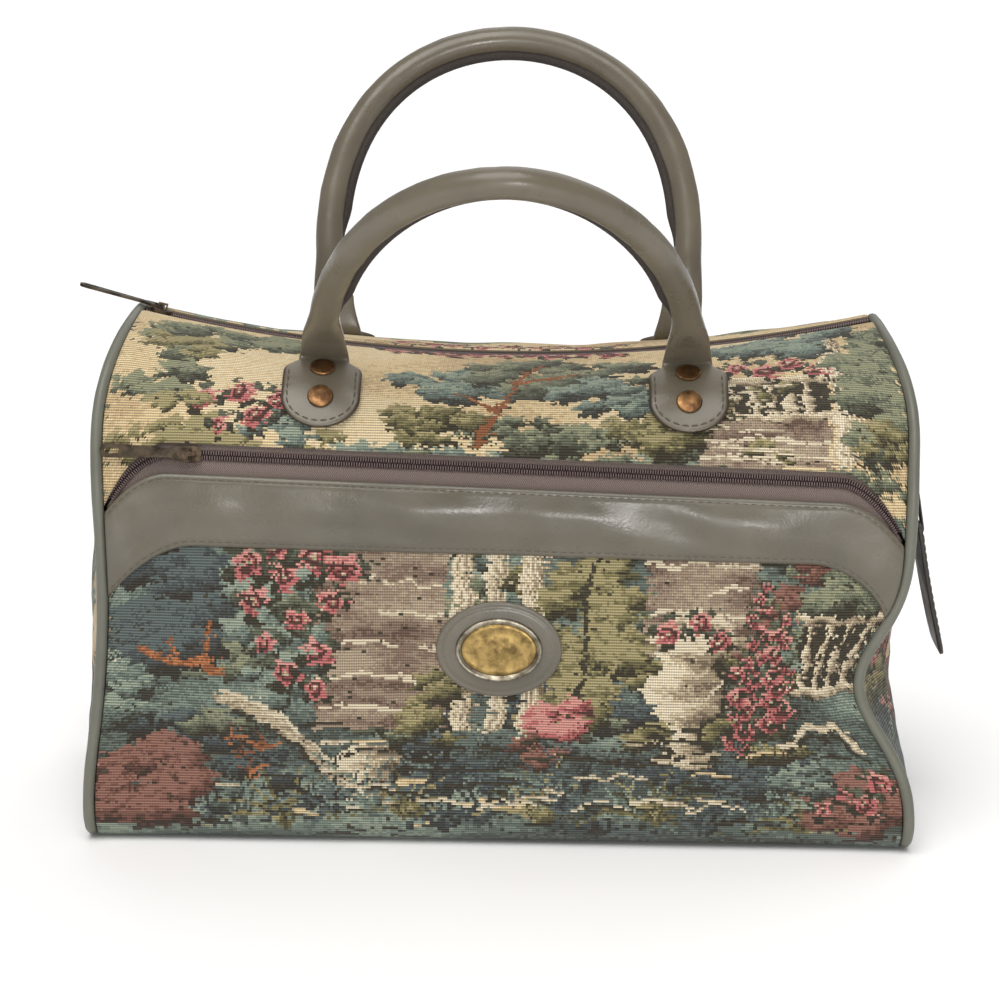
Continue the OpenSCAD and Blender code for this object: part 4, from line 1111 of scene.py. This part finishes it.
def repeat(name, shape, at, along, out, material, size=(1, 1, 1)):
    """One shape on many points: its X goes along, its Z goes out."""
    at, along, out = (np.asarray(a, float).reshape(-1, 3) for a in (at, along, out))
    ax = unit(along)
    az = unit(out - ax * (out * ax).sum(-1, keepdims=True))
    ay = np.cross(az, ax)
    turns = [Matrix((a, b, c)).transposed().to_euler() for a, b, c in zip(ax, ay, az)]
    mesh = bpy.data.meshes.new(name)
    mesh.from_pydata((at * MM).tolist(), [], [])
    for key, value in (("turn", turns), ("size", np.broadcast_to(size, at.shape))):
        layer = mesh.attributes.new(key, "FLOAT_VECTOR", "POINT")
        layer.data.foreach_set("vector", np.array(value, np.float32).ravel())
    piece = bpy.data.objects.new(name, mesh)
    scene.collection.objects.link(piece)
    tree, ids = repeat_tree(name + "_repeat", shape)
    maker = piece.modifiers.new("repeat", "NODES")
    maker.node_group = tree
    maker[ids["Scale"]] = 1.0
    maker[ids["Finish"]] = material
    ready = piece.evaluated_get(bpy.context.evaluated_depsgraph_get())
    made = bpy.data.meshes.new_from_object(ready)
    piece.modifiers.remove(maker)
    piece.data = made
    made.polygons.foreach_set("use_smooth", np.full(len(made.polygons), True))
    if not made.materials:
        made.materials.append(material)
    for key in ("turn", "size"):
        if key in made.attributes:
            made.attributes.remove(made.attributes[key])
    return piece


def pattern_shape(piece):
    """Takes a shape that is only there to be repeated out of the scene."""
    scene.collection.objects.unlink(piece)
    return piece


def bar_shape(name, length, width, height):
    """A rounded bar of thread along X that stands on Z 0."""
    t = np.linspace(-1, 1, 7)
    k = np.linspace(0, 2 * np.pi, 6, endpoint=False)
    fat = np.sqrt(np.maximum(1 - np.abs(t) ** 3, 0.06))
    rings = []
    for a, f in zip(t, fat):
        y, z = width / 2 * f * np.cos(k), height / 2 + height / 2 * f * np.sin(k)
        rings.append(np.stack([length / 2 * a + 0 * k, y, z], -1))
    return pattern_shape(sweep(name, rings, thread))


STITCH = 4.5
stitch_shape = bar_shape("stitch_shape", 3.5, 0.75, 0.5)


def seam(name, points, normals, slot, body="bag"):
    points = np.asarray(points, float)
    both = spaced(np.concatenate([points, normals], -1), STITCH, closed=False)
    at, out = both[:, :3], unit(both[:, 3:])
    return done(repeat(name, stitch_shape, at, np.gradient(at, axis=0), out, thread), body=body)


def band_seams():
    u = np.linspace(-WRAP_END + 0.012, WRAP_END - 0.012, 400)
    for name, edge, inside in (("low", band_low, 2.7), ("high", band_top, -2.7)):
        q = q_of(edge(u * HALF_W)) + inside
        puff = ripple(u * HALF_W, q, -1, 12)
        at = slump(skin_at(u, q, -1, 1.62 + puff))
        seam(f"stitches_band_{name}", at, skin_normal(u, q, -1), "leatherette")


band_seams()

# %% [markdown]
# Zips come next. The two tapes are narrow webbings that lie just under the cloth and curve down at
# the ends of the pocket. The coil is nylon wire: one small bent tooth is repeated along both edges,
# and the two rows mesh like the fingers of two hands.

# %% Zips
COIL_DEPTH, TOOTH, TAPE_DEPTH, TAPE_GAP, TAPE_W = 2.5, 1.3, 0.45, 2.4, 12.0
TAPE_END, COIL_END, SAG_CENTRE = 206.6, 205.0, np.array([0, 0, 1116.36])
ZIP_MIDDLE, ZIP_AHEAD = np.array([0, -86.7857, 203.338]), np.array([0.99961, -0.0074, -0.02694])


def zip_course(x):
    """Height of the pocket zip's middle, ends and all."""
    return (upper_edge(x) + band_top(x)) / 2 + (LOWER_LIP - UPPER_LIP) / 2 * (1 - np.minimum(1, past_zip(x)))


def strip(name, line, across, out, inner, outer, depth, nodes):
    """A tape beside a line: from inner to outer across it, at a depth below it."""
    w = np.linspace(0, 1, 9)
    reach = inner[:, None] + (outer - inner)[:, None] * w
    sunk = out[:, None] * (-depth[:, None] * np.ones_like(w))[..., None]
    top = line[:, None] + across[:, None] * reach[..., None] + sunk
    low = top - out[:, None] * 0.7
    piece = slab(name, top, low, zip_tape)
    far = np.concatenate([[0], np.cumsum(np.linalg.norm(np.diff(line, axis=0), axis=1))])
    flat = np.stack(np.broadcast_arrays(far[:, None], reach), -1).reshape(-1, 2)
    lay_flat(piece, np.concatenate([flat, flat]))
    return done(piece, nodes)


def tooth_shape():
    """A coil tooth: it lies across the zip, rises from the tape and bends over to its head."""
    y, z = (2.35, 2.42, 2.2, 1.4, 0.6, 0.33, 0.5), (-0.9, 0.0, 0.72, 0.86, 0.72, 0.1, -0.6)
    path = np.stack([np.zeros(len(y)), y, z], -1)
    return pattern_shape(sweep("tooth_shape", tube_rings(path, 0.42, 5, False), zip_coil))


tooth = tooth_shape()


def coil(name, line, across, out, nodes):
    for side, tail in ((1, nodes[0]), (-1, nodes[1])):
        both = spaced(np.concatenate([line, across, out], -1), TOOTH, closed=False)
        if side < 0:
            both = both[:-1] + (both[1:] - both[:-1]) / 2
        at, wide, up = both[:, :3], unit(both[:, 3:6]) * side, unit(both[:, 6:])
        piece = repeat(f"{name}_{'a' if side > 0 else 'b'}", tooth, at, np.cross(wide, up), up, zip_coil)
        done(piece, [tail])


def pocket_zip():
    x = np.linspace(-TAPE_END, TAPE_END, 280)
    flat_line = ZIP_MIDDLE + ZIP_AHEAD * (x / ZIP_AHEAD[0])[:, None]
    q = q_of(zip_course(x))
    bent = slump(skin_at(u_at(x, q), q, -1, np.full(x.shape, -COIL_DEPTH)))
    past = smooth(ZIP_RUN - 4, ZIP_RUN + 6, np.abs(x))[:, None]
    line = flat_line * (1 - past) + bent * past
    out = skin_normal(u_at(x, q), q, -1)
    along = unit(np.gradient(line, axis=0))
    up = unit(np.cross(out, along))
    gap = np.clip(upper_edge(x) - band_top(x), 1, None)
    grow = np.minimum(1, gap / (UPPER_LIP + LOWER_LIP))
    rim, depth = TAPE_GAP * grow, np.full(x.shape, TAPE_DEPTH)
    strip("zip_tape_pocket_upper", line, up, out, rim, 4 + 6 * grow, depth, ["pocket_zip_upper_tape"])
    strip("zip_tape_pocket_lower", line, -up, out, rim, 4 + 11 * grow, depth, ["pocket_zip_lower_tape"])
    keep = np.abs(x) < COIL_END
    coil("zip_coil_pocket", line[keep], up[keep], out[keep], ["pocket_zip_upper_coil", "pocket_zip_lower_coil"])


pocket_zip()


def top_zip():
    a = np.linspace(-1, 1, 220) * math.asin(ZIP_HALF / SAG_R)
    r = SAG_R + COIL_DEPTH
    out = np.stack([-np.sin(a), 0 * a, np.cos(a)], -1)
    line = SAG_CENTRE - out * r
    back = np.broadcast_to([0.0, 1, 0], line.shape)
    rim, reach, depth = (np.full(a.shape, v) for v in (TAPE_GAP, TAPE_W, TAPE_DEPTH))
    strip("zip_tape_top_front", line, -back, out, rim, reach, depth, ["top_zip_front_tape"])
    strip("zip_tape_top_rear", line, back, out, rim, reach, depth, ["top_zip_rear_tape"])
    coil("zip_coil_top", line, back, out, ["top_zip_rear_coil", "top_zip_front_coil"])


top_zip()

# %% [markdown]
# Each handle is one strip of leatherette. It lies flat on the bag as a tab, creases at the top,
# narrows and is then rolled into a round grip with its raw edges along the inside of the curve.
# One sweep makes all of it.

# %% Handles
TAB_X, TAB_W, TAB_T, TAB_L, TAB_ROUND, TAB_RISE = 95.0, 41.0, 4.0, 56.0, 17.2, math.radians(62)
TAB_TOP = DEPTH_R * TAB_RISE
NECK_W, NECK_T, GRIP_R, FOLD_REACH = 23.0, 4.4, 7.75, 17
FOLD = np.array([0, -50.1712, 257.1536])
FRONT_GRIP, REAR_GRIP = (166, 0, 52), (164, 34, 21)  # height, swelling, lean in degrees


def tilted(lean):
    a = math.radians(lean)
    return np.array([[1, 0, 0], [0, math.cos(a), -math.sin(a)], [0, math.sin(a), math.cos(a)]])


def handle_line(k, h, swing):
    k = np.radians(k)
    return np.stack([-(TAB_X + swing * np.sin(k)) * np.cos(k), 0 * k, h * np.sin(k)], -1)


def squircle(a, b, power, n=28):
    """An outline between an ellipse (power 2) and a box (a high power)."""
    k = np.linspace(0, 2 * np.pi, n, endpoint=False)
    c, s = np.cos(k), np.sin(k)
    return np.stack([a * np.sign(c) * np.abs(c) ** (2 / power), b * np.sign(s) * np.abs(s) ** (2 / power)], -1)


def handle(name, front, h, swing, lean, body, tabs):
    tilt, turn = math.radians(lean), tilted(lean)

    def tab_rings(x_side):
        """Rings up a tab; the fourth number of a point says how far it is on the cut edge."""
        made = []
        for d in np.concatenate([np.linspace(0.05, 1, 12) ** 1.6 * TAB_ROUND, np.linspace(19, 47, 18)]):
            round_end = max(1 - max(0, TAB_ROUND - d) ** 2 / TAB_ROUND**2, 0.0016)
            wide = TAB_W / 2 * math.sqrt(round_end)
            narrow = smooth(37, 51, d)
            wide = wide * (1 - narrow) + NECK_W / 2 * narrow
            q = np.array(TAB_TOP - TAB_L + d)
            ring = []
            for sx, sz in squircle(wide, TAB_T / 2, 5.0):
                at = skin_at(u_at(x_side * TAB_X + sx, q), q, -1, FIT + TAB_T / 2 + sz)
                ring.append((*at, float(sz < 0.8 * TAB_T / 2) * (1 - narrow)))
            made.append(np.array(ring))
        return made

    def grip_rings():
        made = []
        stops = np.linspace(4.2, 22, 15), np.linspace(25, 155, 66), np.linspace(158, 175.8, 15)
        for k in np.concatenate(stops):
            p = handle_line(k, h, swing)
            d = handle_line(k + 0.1, h, swing) - handle_line(k - 0.1, h, swing)
            t = d / np.linalg.norm(d)
            foot = min(np.linalg.norm(p - [-TAB_X, 0, 0]), np.linalg.norm(p - [TAB_X, 0, 0]))
            roll = smooth(6, 42, foot)
            a = NECK_W / 2 * (1 - roll) + GRIP_R * roll
            b = (NECK_T / 2 - 0.1) * (1 - roll) + GRIP_R * roll
            dimple = 1 - 0.05 * roll * (noise(np.array(k * 0.9), np.array(0.0), 3.0, 80) - 0.5)
            wrinkle = 1 + 0.05 * math.exp(-(((foot - 22) / 12) ** 2)) * math.sin(foot * 1.1)
            sq = squircle(a, b, 5.0 - 3.0 * smooth(2, 28, foot)) * dimple
            ring = np.array([p + np.array([-t[2] * s, v * wrinkle, t[0] * s]) for s, v in sq])
            made.append(np.concatenate([FOLD + ring @ turn.T, np.zeros((len(ring), 1))], 1))
        return made

    left, grip, right = tab_rings(-1), grip_rings(), tab_rings(1)

    def match(ring, other):
        """Starts and turns a ring as its neighbour does, so that the sweep has no twist."""
        tries = []
        for f, r in ((0, ring), (1, ring[::-1])):
            for s in range(len(ring)):
                far = np.linalg.norm((np.roll(r, s, 0) - other)[:, :3], axis=1).sum()
                tries.append((far, f, s))
        return min(tries)[1:]

    f, s = match(left[-1], grip[0])
    left = [np.roll(r[::-1] if f else r, s, 0) for r in left]
    f, s = match(right[-1], grip[-1])
    right = [np.roll(r[::-1] if f else r, s, 0) for r in right][::-1]

    def bend(a, b, out_a, out_b):
        """Rings of a soft fold from ring a to ring b, which leave along the two directions."""
        made = []
        for t in np.linspace(0, 1, 9)[1:-1]:
            keep, come = 1 - smooth(0, 1, t), smooth(0, 1, t)
            made.append(a * keep + b * come + out_a * t * (1 - t) ** 2 - out_b * t**2 * (1 - t))
        return made

    up_tab = FOLD_REACH * np.array([0, math.sin(TAB_RISE), math.cos(TAB_RISE), 0])
    up_grip = FOLD_REACH * np.array([0, -math.sin(tilt), math.cos(tilt), 0])
    rising = bend(left[-1], grip[0], up_tab, up_grip)
    falling = bend(grip[-1], right[0], -up_grip, -up_tab)
    rings = np.array(left + rising + grip + falling + right)
    cut, rings = rings[..., 3], rings[..., :3]
    if not front:
        rings = rings * np.array([1, -1, 1])
    piece = sweep(name, rings, roll_skin)
    layer = piece.data.attributes.new("cut_edge", "FLOAT", "POINT")
    layer.data.foreach_set("value", np.concatenate([cut.ravel(), [1, 1]]).astype(np.float32))
    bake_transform(piece)
    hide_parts(body, *tabs)
    print(name, len(piece.data.polygons), "faces")
    return piece


handle("handle_front", True, *FRONT_GRIP, "front_handle", ["front_left_tab", "front_right_tab"])
handle("handle_rear", False, *REAR_GRIP, "rear_handle", ["rear_left_tab", "rear_right_tab"])


def tab_seam(name, side, front):
    """A row of stitches that follows the outline of a tab, a little inside its edge."""
    inset, straight = 3.0, 17.0
    k = np.linspace(0, np.pi, 60)
    down = np.linspace(straight, 0, 20)
    wide = TAB_W / 2 - inset
    across = np.concatenate([0 * down + wide, wide * np.cos(k), 0 * down - wide])
    along = np.concatenate([down, (inset - TAB_ROUND) * np.sin(k), down[::-1]]) + TAB_ROUND
    q = TAB_TOP - TAB_L + along
    u = u_at(side * TAB_X + across, q)
    flip = np.array([1, 1 if front else -1, 1])
    at = skin_at(u, q, -1, FIT + TAB_T) * flip
    return seam(name, at, skin_normal(u, q, -1) * flip, "leatherette")


for place, front in (("front", True), ("rear", False)):
    for hand, side in (("left", -1), ("right", 1)):
        tab_seam(f"tab_stitches_{place}_{hand}", side, front)


def handle_seam(name, front, h, swing, lean, body):
    """The raw edges of the roll: two dark lips along the inside of the curve."""
    k = np.linspace(16, 164, 150)
    p = handle_line(k, h, swing)
    t = unit(handle_line(k + 0.1, h, swing) - handle_line(k - 0.1, h, swing))
    inward = np.stack([t[:, 2], 0 * k, -t[:, 0]], -1)
    thin = smooth(16, 24, k) * smooth(16, 24, 180 - k)
    rings = []
    for i in range(len(k)):
        high, low = 0.4 * GRIP_R, GRIP_R - 1.2
        lip = GRIP_R + 3.4 * thin[i]
        half = [(low, -high), (lip - 0.5, -high + 0.5), (lip, -high * 0.55)]
        shape = half + [(lip - 0.9, 0)] + [(a, -b) for a, b in half[::-1]]
        rings.append([p[i] + inward[i] * a + np.array([0, b, 0]) for a, b in shape])
    rings = FOLD + np.array(rings) @ tilted(lean).T
    if not front:
        rings = rings * np.array([1, -1, 1])
    return done(sweep(name, rings, raw_edge), body=body)


handle_seam("handle_front_seam", True, *FRONT_GRIP, "front_handle")
handle_seam("handle_rear_seam", False, *REAR_GRIP, "rear_handle")

# %% [markdown]
# Two domed rivets hold each tab. The head is turned like a button, with a thin rim pressed into
# the leatherette, and the same repeat tree that sews the seams sets all the heads of a handle.

# %% Rivets
def turned_shape(name, profile, material, sides=28):
    k = np.linspace(0, 2 * np.pi, sides, endpoint=False)
    rings = [[(r * math.cos(a), r * math.sin(a), z) for a in k] for r, z in profile]
    return pattern_shape(sweep(name, rings, material))


RIVET_ROWS = TAB_TOP - 17, TAB_TOP - 39
RIVET = [
    (1.6, -8), (1.6, 4.2), (6.3, 4.2), (6.7, 4.5), (6.7, 5.0), (6.45, 5.4),
    (6.0, 5.6), (5.6, 5.6), (5.2, 5.75), (3.4, 6.0), (1.6, 6.1), (0.3, 6.12),
]
rivet_head = turned_shape("rivet_head", RIVET, rivet_metal)


def rivets(name, side, nodes):
    at, out, along = [], [], []
    for s in (-1, 1):
        for q in RIVET_ROWS:
            u = u_at(s * TAB_X, q)
            at.append(skin_at(u, q, side, 0.0))
            out.append(skin_normal(u, q, side))
            along.append((1, 0, 0))
    return done(repeat(name, rivet_head, at, along, out, rivet_metal), nodes)


rivets("rivet_heads_front", -1, ["front_rivets"])
rivets("rivet_heads_rear", 1, ["rear_rivets"])

# %% [markdown]
# The badge is an oval of leatherette with a small oval plate. Nothing is written on the plate: it
# has a worn pewter rim round a plain brass face with a fine beaten ground.

# %% Badge
BADGE_X, BADGE_Z, BADGE_W, BADGE_H = -1.0, 110.0, 65.0, 50.0
PATCH_EDGE = [
    (0.3, 0.0), (0, 0.5), (0, 1.5), (0.5, 2.0), (1.6, 2.15), (2.6, 1.7),
    (3.4, 2.1), (5, 2.15), (10, 2.15), (20, 2.1), (24.6, 2.1),
]
PLATE_RIM = [
    (0.2, 0.0), (0, 0.5), (0.1, 1.6), (0.6, 2.2), (1.3, 2.3),
    (2.0, 1.9), (2.5, 1.3), (3.0, 1.15), (3.2, 0.2),
]
PLATE_FACE = [
    (2.9, 0.3), (2.95, 1.05), (3.6, 1.15), (4.4, 1.45),
    (5.2, 1.2), (9, 1.35), (13, 1.5), (16.3, 1.55),
]


def oval_rings(profile, w, h, base_off, n=96):
    """Rings of an oval on the skin: each row of the profile is an inset and a height."""
    k = np.linspace(0, 2 * np.pi, n, endpoint=False)
    rings = []
    for inset, up in profile:
        x = BADGE_X + (w / 2 - inset) * np.cos(k)
        q = q_of(BADGE_Z) + (h / 2 - inset) * np.sin(k)
        rings.append(skin_at(u_at(x, q), q, -1, np.full(n, base_off + up)))
    return rings


def badge():
    patch = sweep("badge_patch_skin", oval_rings(PATCH_EDGE, BADGE_W, BADGE_H, 0.15), leatherette)
    done(patch, ["badge_patch"])
    w, h = BADGE_W - 20, BADGE_H - 17
    rim = sweep("badge_plate_rim", oval_rings(PLATE_RIM, w, h, 2.25), badge_rim)
    done(rim)
    face = sweep("badge_plate_face", oval_rings(PLATE_FACE, w, h, 2.25), badge_face)
    done(face, ["badge_plate"])


badge()

# %% [markdown]
# A strap folded round its bar holds each ring at the top of an end. The rings keep their frame
# shape.

# %% Ring straps
RING_X, RING_Z, STRAP_W, STRAP_SLOPE = 212.613, 224.0, 18, math.radians(7.2)


def flat_strap(name, path, normals, thick, node):
    """A strap along a path that lies in an upright plane, with softly rounded edges."""
    across = np.array([0, 1.0, 0])
    rings = []
    for p, n in zip(path, unit(normals)):
        sq = squircle(STRAP_W / 2, thick / 2, 4.0, 16)
        rings.append([p + across * a + n * b for a, b in sq])
    return done(sweep(name, rings, leatherette), [node])


def ring_strap(side):
    inner, t = 1.75, 1.6
    r = inner + t / 2
    c, s = math.cos(STRAP_SLOPE), math.sin(STRAP_SLOPE)
    tilt = lambda p: np.array([p[0] * c - p[1] * s, 0, p[0] * s + p[1] * c])
    flat, out = [], []
    for z in np.linspace(25.6, 3, 10):
        flat.append((-r, z))
        out.append((-1, 0))
    for a in np.linspace(180, 372, 26):
        a = math.radians(a)
        flat.append((r * math.cos(a), r * math.sin(a)))
        out.append((math.cos(a), math.sin(a)))
    for z in np.linspace(2.5, 25.2, 12):
        bow = math.exp(-(z - 1) / 3.2)
        flat.append((r * bow + (-r + t) * (1 - bow), z))
        out.append((1, 0.15))
    path = np.array([tilt(p) for p in flat])
    normal = np.array([tilt(p) for p in out])
    flip = np.array([side, 1, 1])
    path = (path + [RING_X, 0, RING_Z]) * flip
    hand = "left" if side < 0 else "right"
    flat_strap(f"ring_strap_{hand}", path, normal * flip, t, f"{hand}_ring_loop")


for side in (-1, 1):
    ring_strap(side)

# %% [markdown]
# A dark luggage tag hangs from the right ring by a narrow strap. Its plate is a ring of faces round
# a slot, a little curled, and a row of stitches runs round it. Behind the pocket hangs a slack lining.

# %% Tag and lining
TAG_TILT, TAG_W, TAG_L, TAG_DROP, TAG_HANG = math.radians(10), 38.0, 74.0, 41.6, 46.0
RING_DROP, RING_TILT, SLOT_Z = 23.5, math.radians(13), 7.5
TAG_EDGE = [  # share of the way from slot to outline, half thickness
    (0, 0.2), (0, 1.0), (0.05, 1.3), (0.3, 1.3), (0.6, 1.3),
    (0.86, 1.15), (0.96, 1.3), (1, 0.9), (1, 0.2),
]


def on_tag(points):
    """From the tag's own frame, x out from the bag, y to the back and z up from the ring's foot."""
    points = np.asarray(points, float)
    x, z = points[..., 0], points[..., 2]
    c, s = math.cos(TAG_TILT), math.sin(TAG_TILT)
    foot = np.array([RING_X + RING_DROP * math.sin(RING_TILT), 0, RING_Z - RING_DROP * math.cos(RING_TILT)])
    return np.stack([x * c - z * s, points[..., 1], x * s + z * c], -1) + foot


def rounded(w, low, high, r, n=120):
    """A rounded rectangle, seen from the middle of the tag's slot, as a distance for each angle."""
    corner = np.radians(np.linspace(0, 90, 12))
    loop = []
    for k, (sy, sz) in enumerate(((1, 1), (-1, 1), (-1, -1), (1, -1))):
        a = corner + k * math.pi / 2
        y, z = sy * (w / 2 - r), high - r if sz > 0 else low + r
        loop += [(y + r * math.cos(b), z + r * math.sin(b)) for b in a]
    loop = spaced(np.array(loop), 0.25)
    angle, far = np.arctan2(loop[:, 1] + SLOT_Z, loop[:, 0]), np.hypot(loop[:, 0], loop[:, 1] + SLOT_Z)
    order = np.argsort(angle)
    k = np.linspace(-np.pi, np.pi, n, endpoint=False)
    reach = np.interp(k, angle[order], far[order], period=2 * np.pi)
    return np.stack([reach * np.cos(k), reach * np.sin(k) - SLOT_Z], -1)


def tag():
    outer, slot = rounded(TAG_W, -TAG_L, 0, 7), rounded(12, -10, -5, 1.5)
    curl = lambda z: 3.0 * ((np.minimum(z, -12) + 12) / 62) ** 2
    rings = []
    for t, h in TAG_EDGE:
        flat = slot + (outer - slot) * t
        rings.append((flat, h))
    shape = [np.stack([h + curl(f[:, 1]), f[:, 0], f[:, 1] - TAG_DROP], -1) for f, h in rings]
    shape += [np.stack([-h + curl(f[:, 1]), f[:, 0], f[:, 1] - TAG_DROP], -1) for f, h in rings[::-1]]
    done(sweep("tag_plate", on_tag(shape), tag_skin, closed=True), ["tag_body"], "tag")
    line = slot + (outer - slot) * 0.86
    line = spaced(line, 1.0)
    at = np.stack([1.25 + curl(line[:, 1]), line[:, 0], line[:, 1] - TAG_DROP], -1)
    out = np.broadcast_to(on_tag([1, 0, 0]) - on_tag([0, 0, 0]), at.shape)
    seam("tag_stitches", on_tag(at), out, "tag_leather", "tag")
    r = 2.2 + 0.8
    path = [(r * math.cos(a), r * math.sin(a) + 1) for a in np.linspace(0, math.pi, 13)]
    path += [(-r, z) for z in np.linspace(0, -TAG_HANG, 12)[1:-1]]
    path += [(r * math.cos(a), r * math.sin(a) - TAG_HANG) for a in np.linspace(math.pi, 2 * math.pi, 13)]
    path += [(r, z) for z in np.linspace(-TAG_HANG, 0, 12)[1:-1]]
    path = np.array(path)
    ahead = unit(np.roll(path, -1, 0) - np.roll(path, 1, 0))
    out = np.stack([ahead[:, 1], -ahead[:, 0]], -1)
    edge = squircle(4.5, 0.8, 4.0, 16)
    loop = [[(p[0] + o[0] * b, a, p[1] + o[1] * b) for a, b in edge] for p, o in zip(path, out)]
    done(sweep("tag_loop", on_tag(loop), tag_skin, closed=True), ["tag_strap"], "tag")


tag()


def lining():
    u = np.linspace(-WRAP_END, WRAP_END, 90)
    t = np.linspace(0, 1, 48)
    q = Q_FOOT + 2 + (q_of(ZIP_Z) + 30 - Q_FOOT - 2) * t
    uu, qq = np.meshgrid(u, q, indexing="ij")
    slack = CLOTH + 0.9 + 9 * np.sin(np.pi * t) + 2.0 * noise(uu * HALF_W, qq, 40, 91) * np.sin(np.pi * t)
    face, rear = (slump(skin_at(uu, qq, -1, -slack - off)) for off in (0, 0.8))
    piece = slab("lining_pocket", face, rear, lining_cloth)
    done(piece, ["pocket_lining"])


lining()

# %% [markdown]
# What is left are the small rigid pieces, which already have the right shape in the frame. They
# take the metal finishes, and the board inside takes its card.

# %% Finishes for the rigid pieces
for names, finish in (
    (("top_slider", "pocket_slider"), slider_metal),
    (("top_pull", "pocket_pull"), pull_metal),
    (("left_ring", "right_ring"), ring_metal),
    (("base_board",), board_card),
):
    for name in names:
        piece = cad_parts[name]
        piece.data.materials.clear()
        piece.data.materials.append(finish)

# %% [markdown]
# The floor is a broad pale sheet that the studio light washes out.

# %% Floor
FLOOR = 30000


def floor():
    g = Graph("floor_paper")
    patches = g.range(g.cloud(3.0), 0.3, 0.7, 0, 1)
    colour = g.mix(patches, tint(251, 251, 251), tint(249, 249, 249))
    finish = g.finish(Base_Color=colour, Roughness=0.9)
    corners = [(x * FLOOR, y * FLOOR, -0.2) for x, y in ((-1, -1), (1, -1), (1, 1), (-1, 1))]
    piece = make("floor", corners, [np.array([[0, 1, 2, 3]])], finish)


floor()

# %% Finish
bpy.context.view_layer.update()
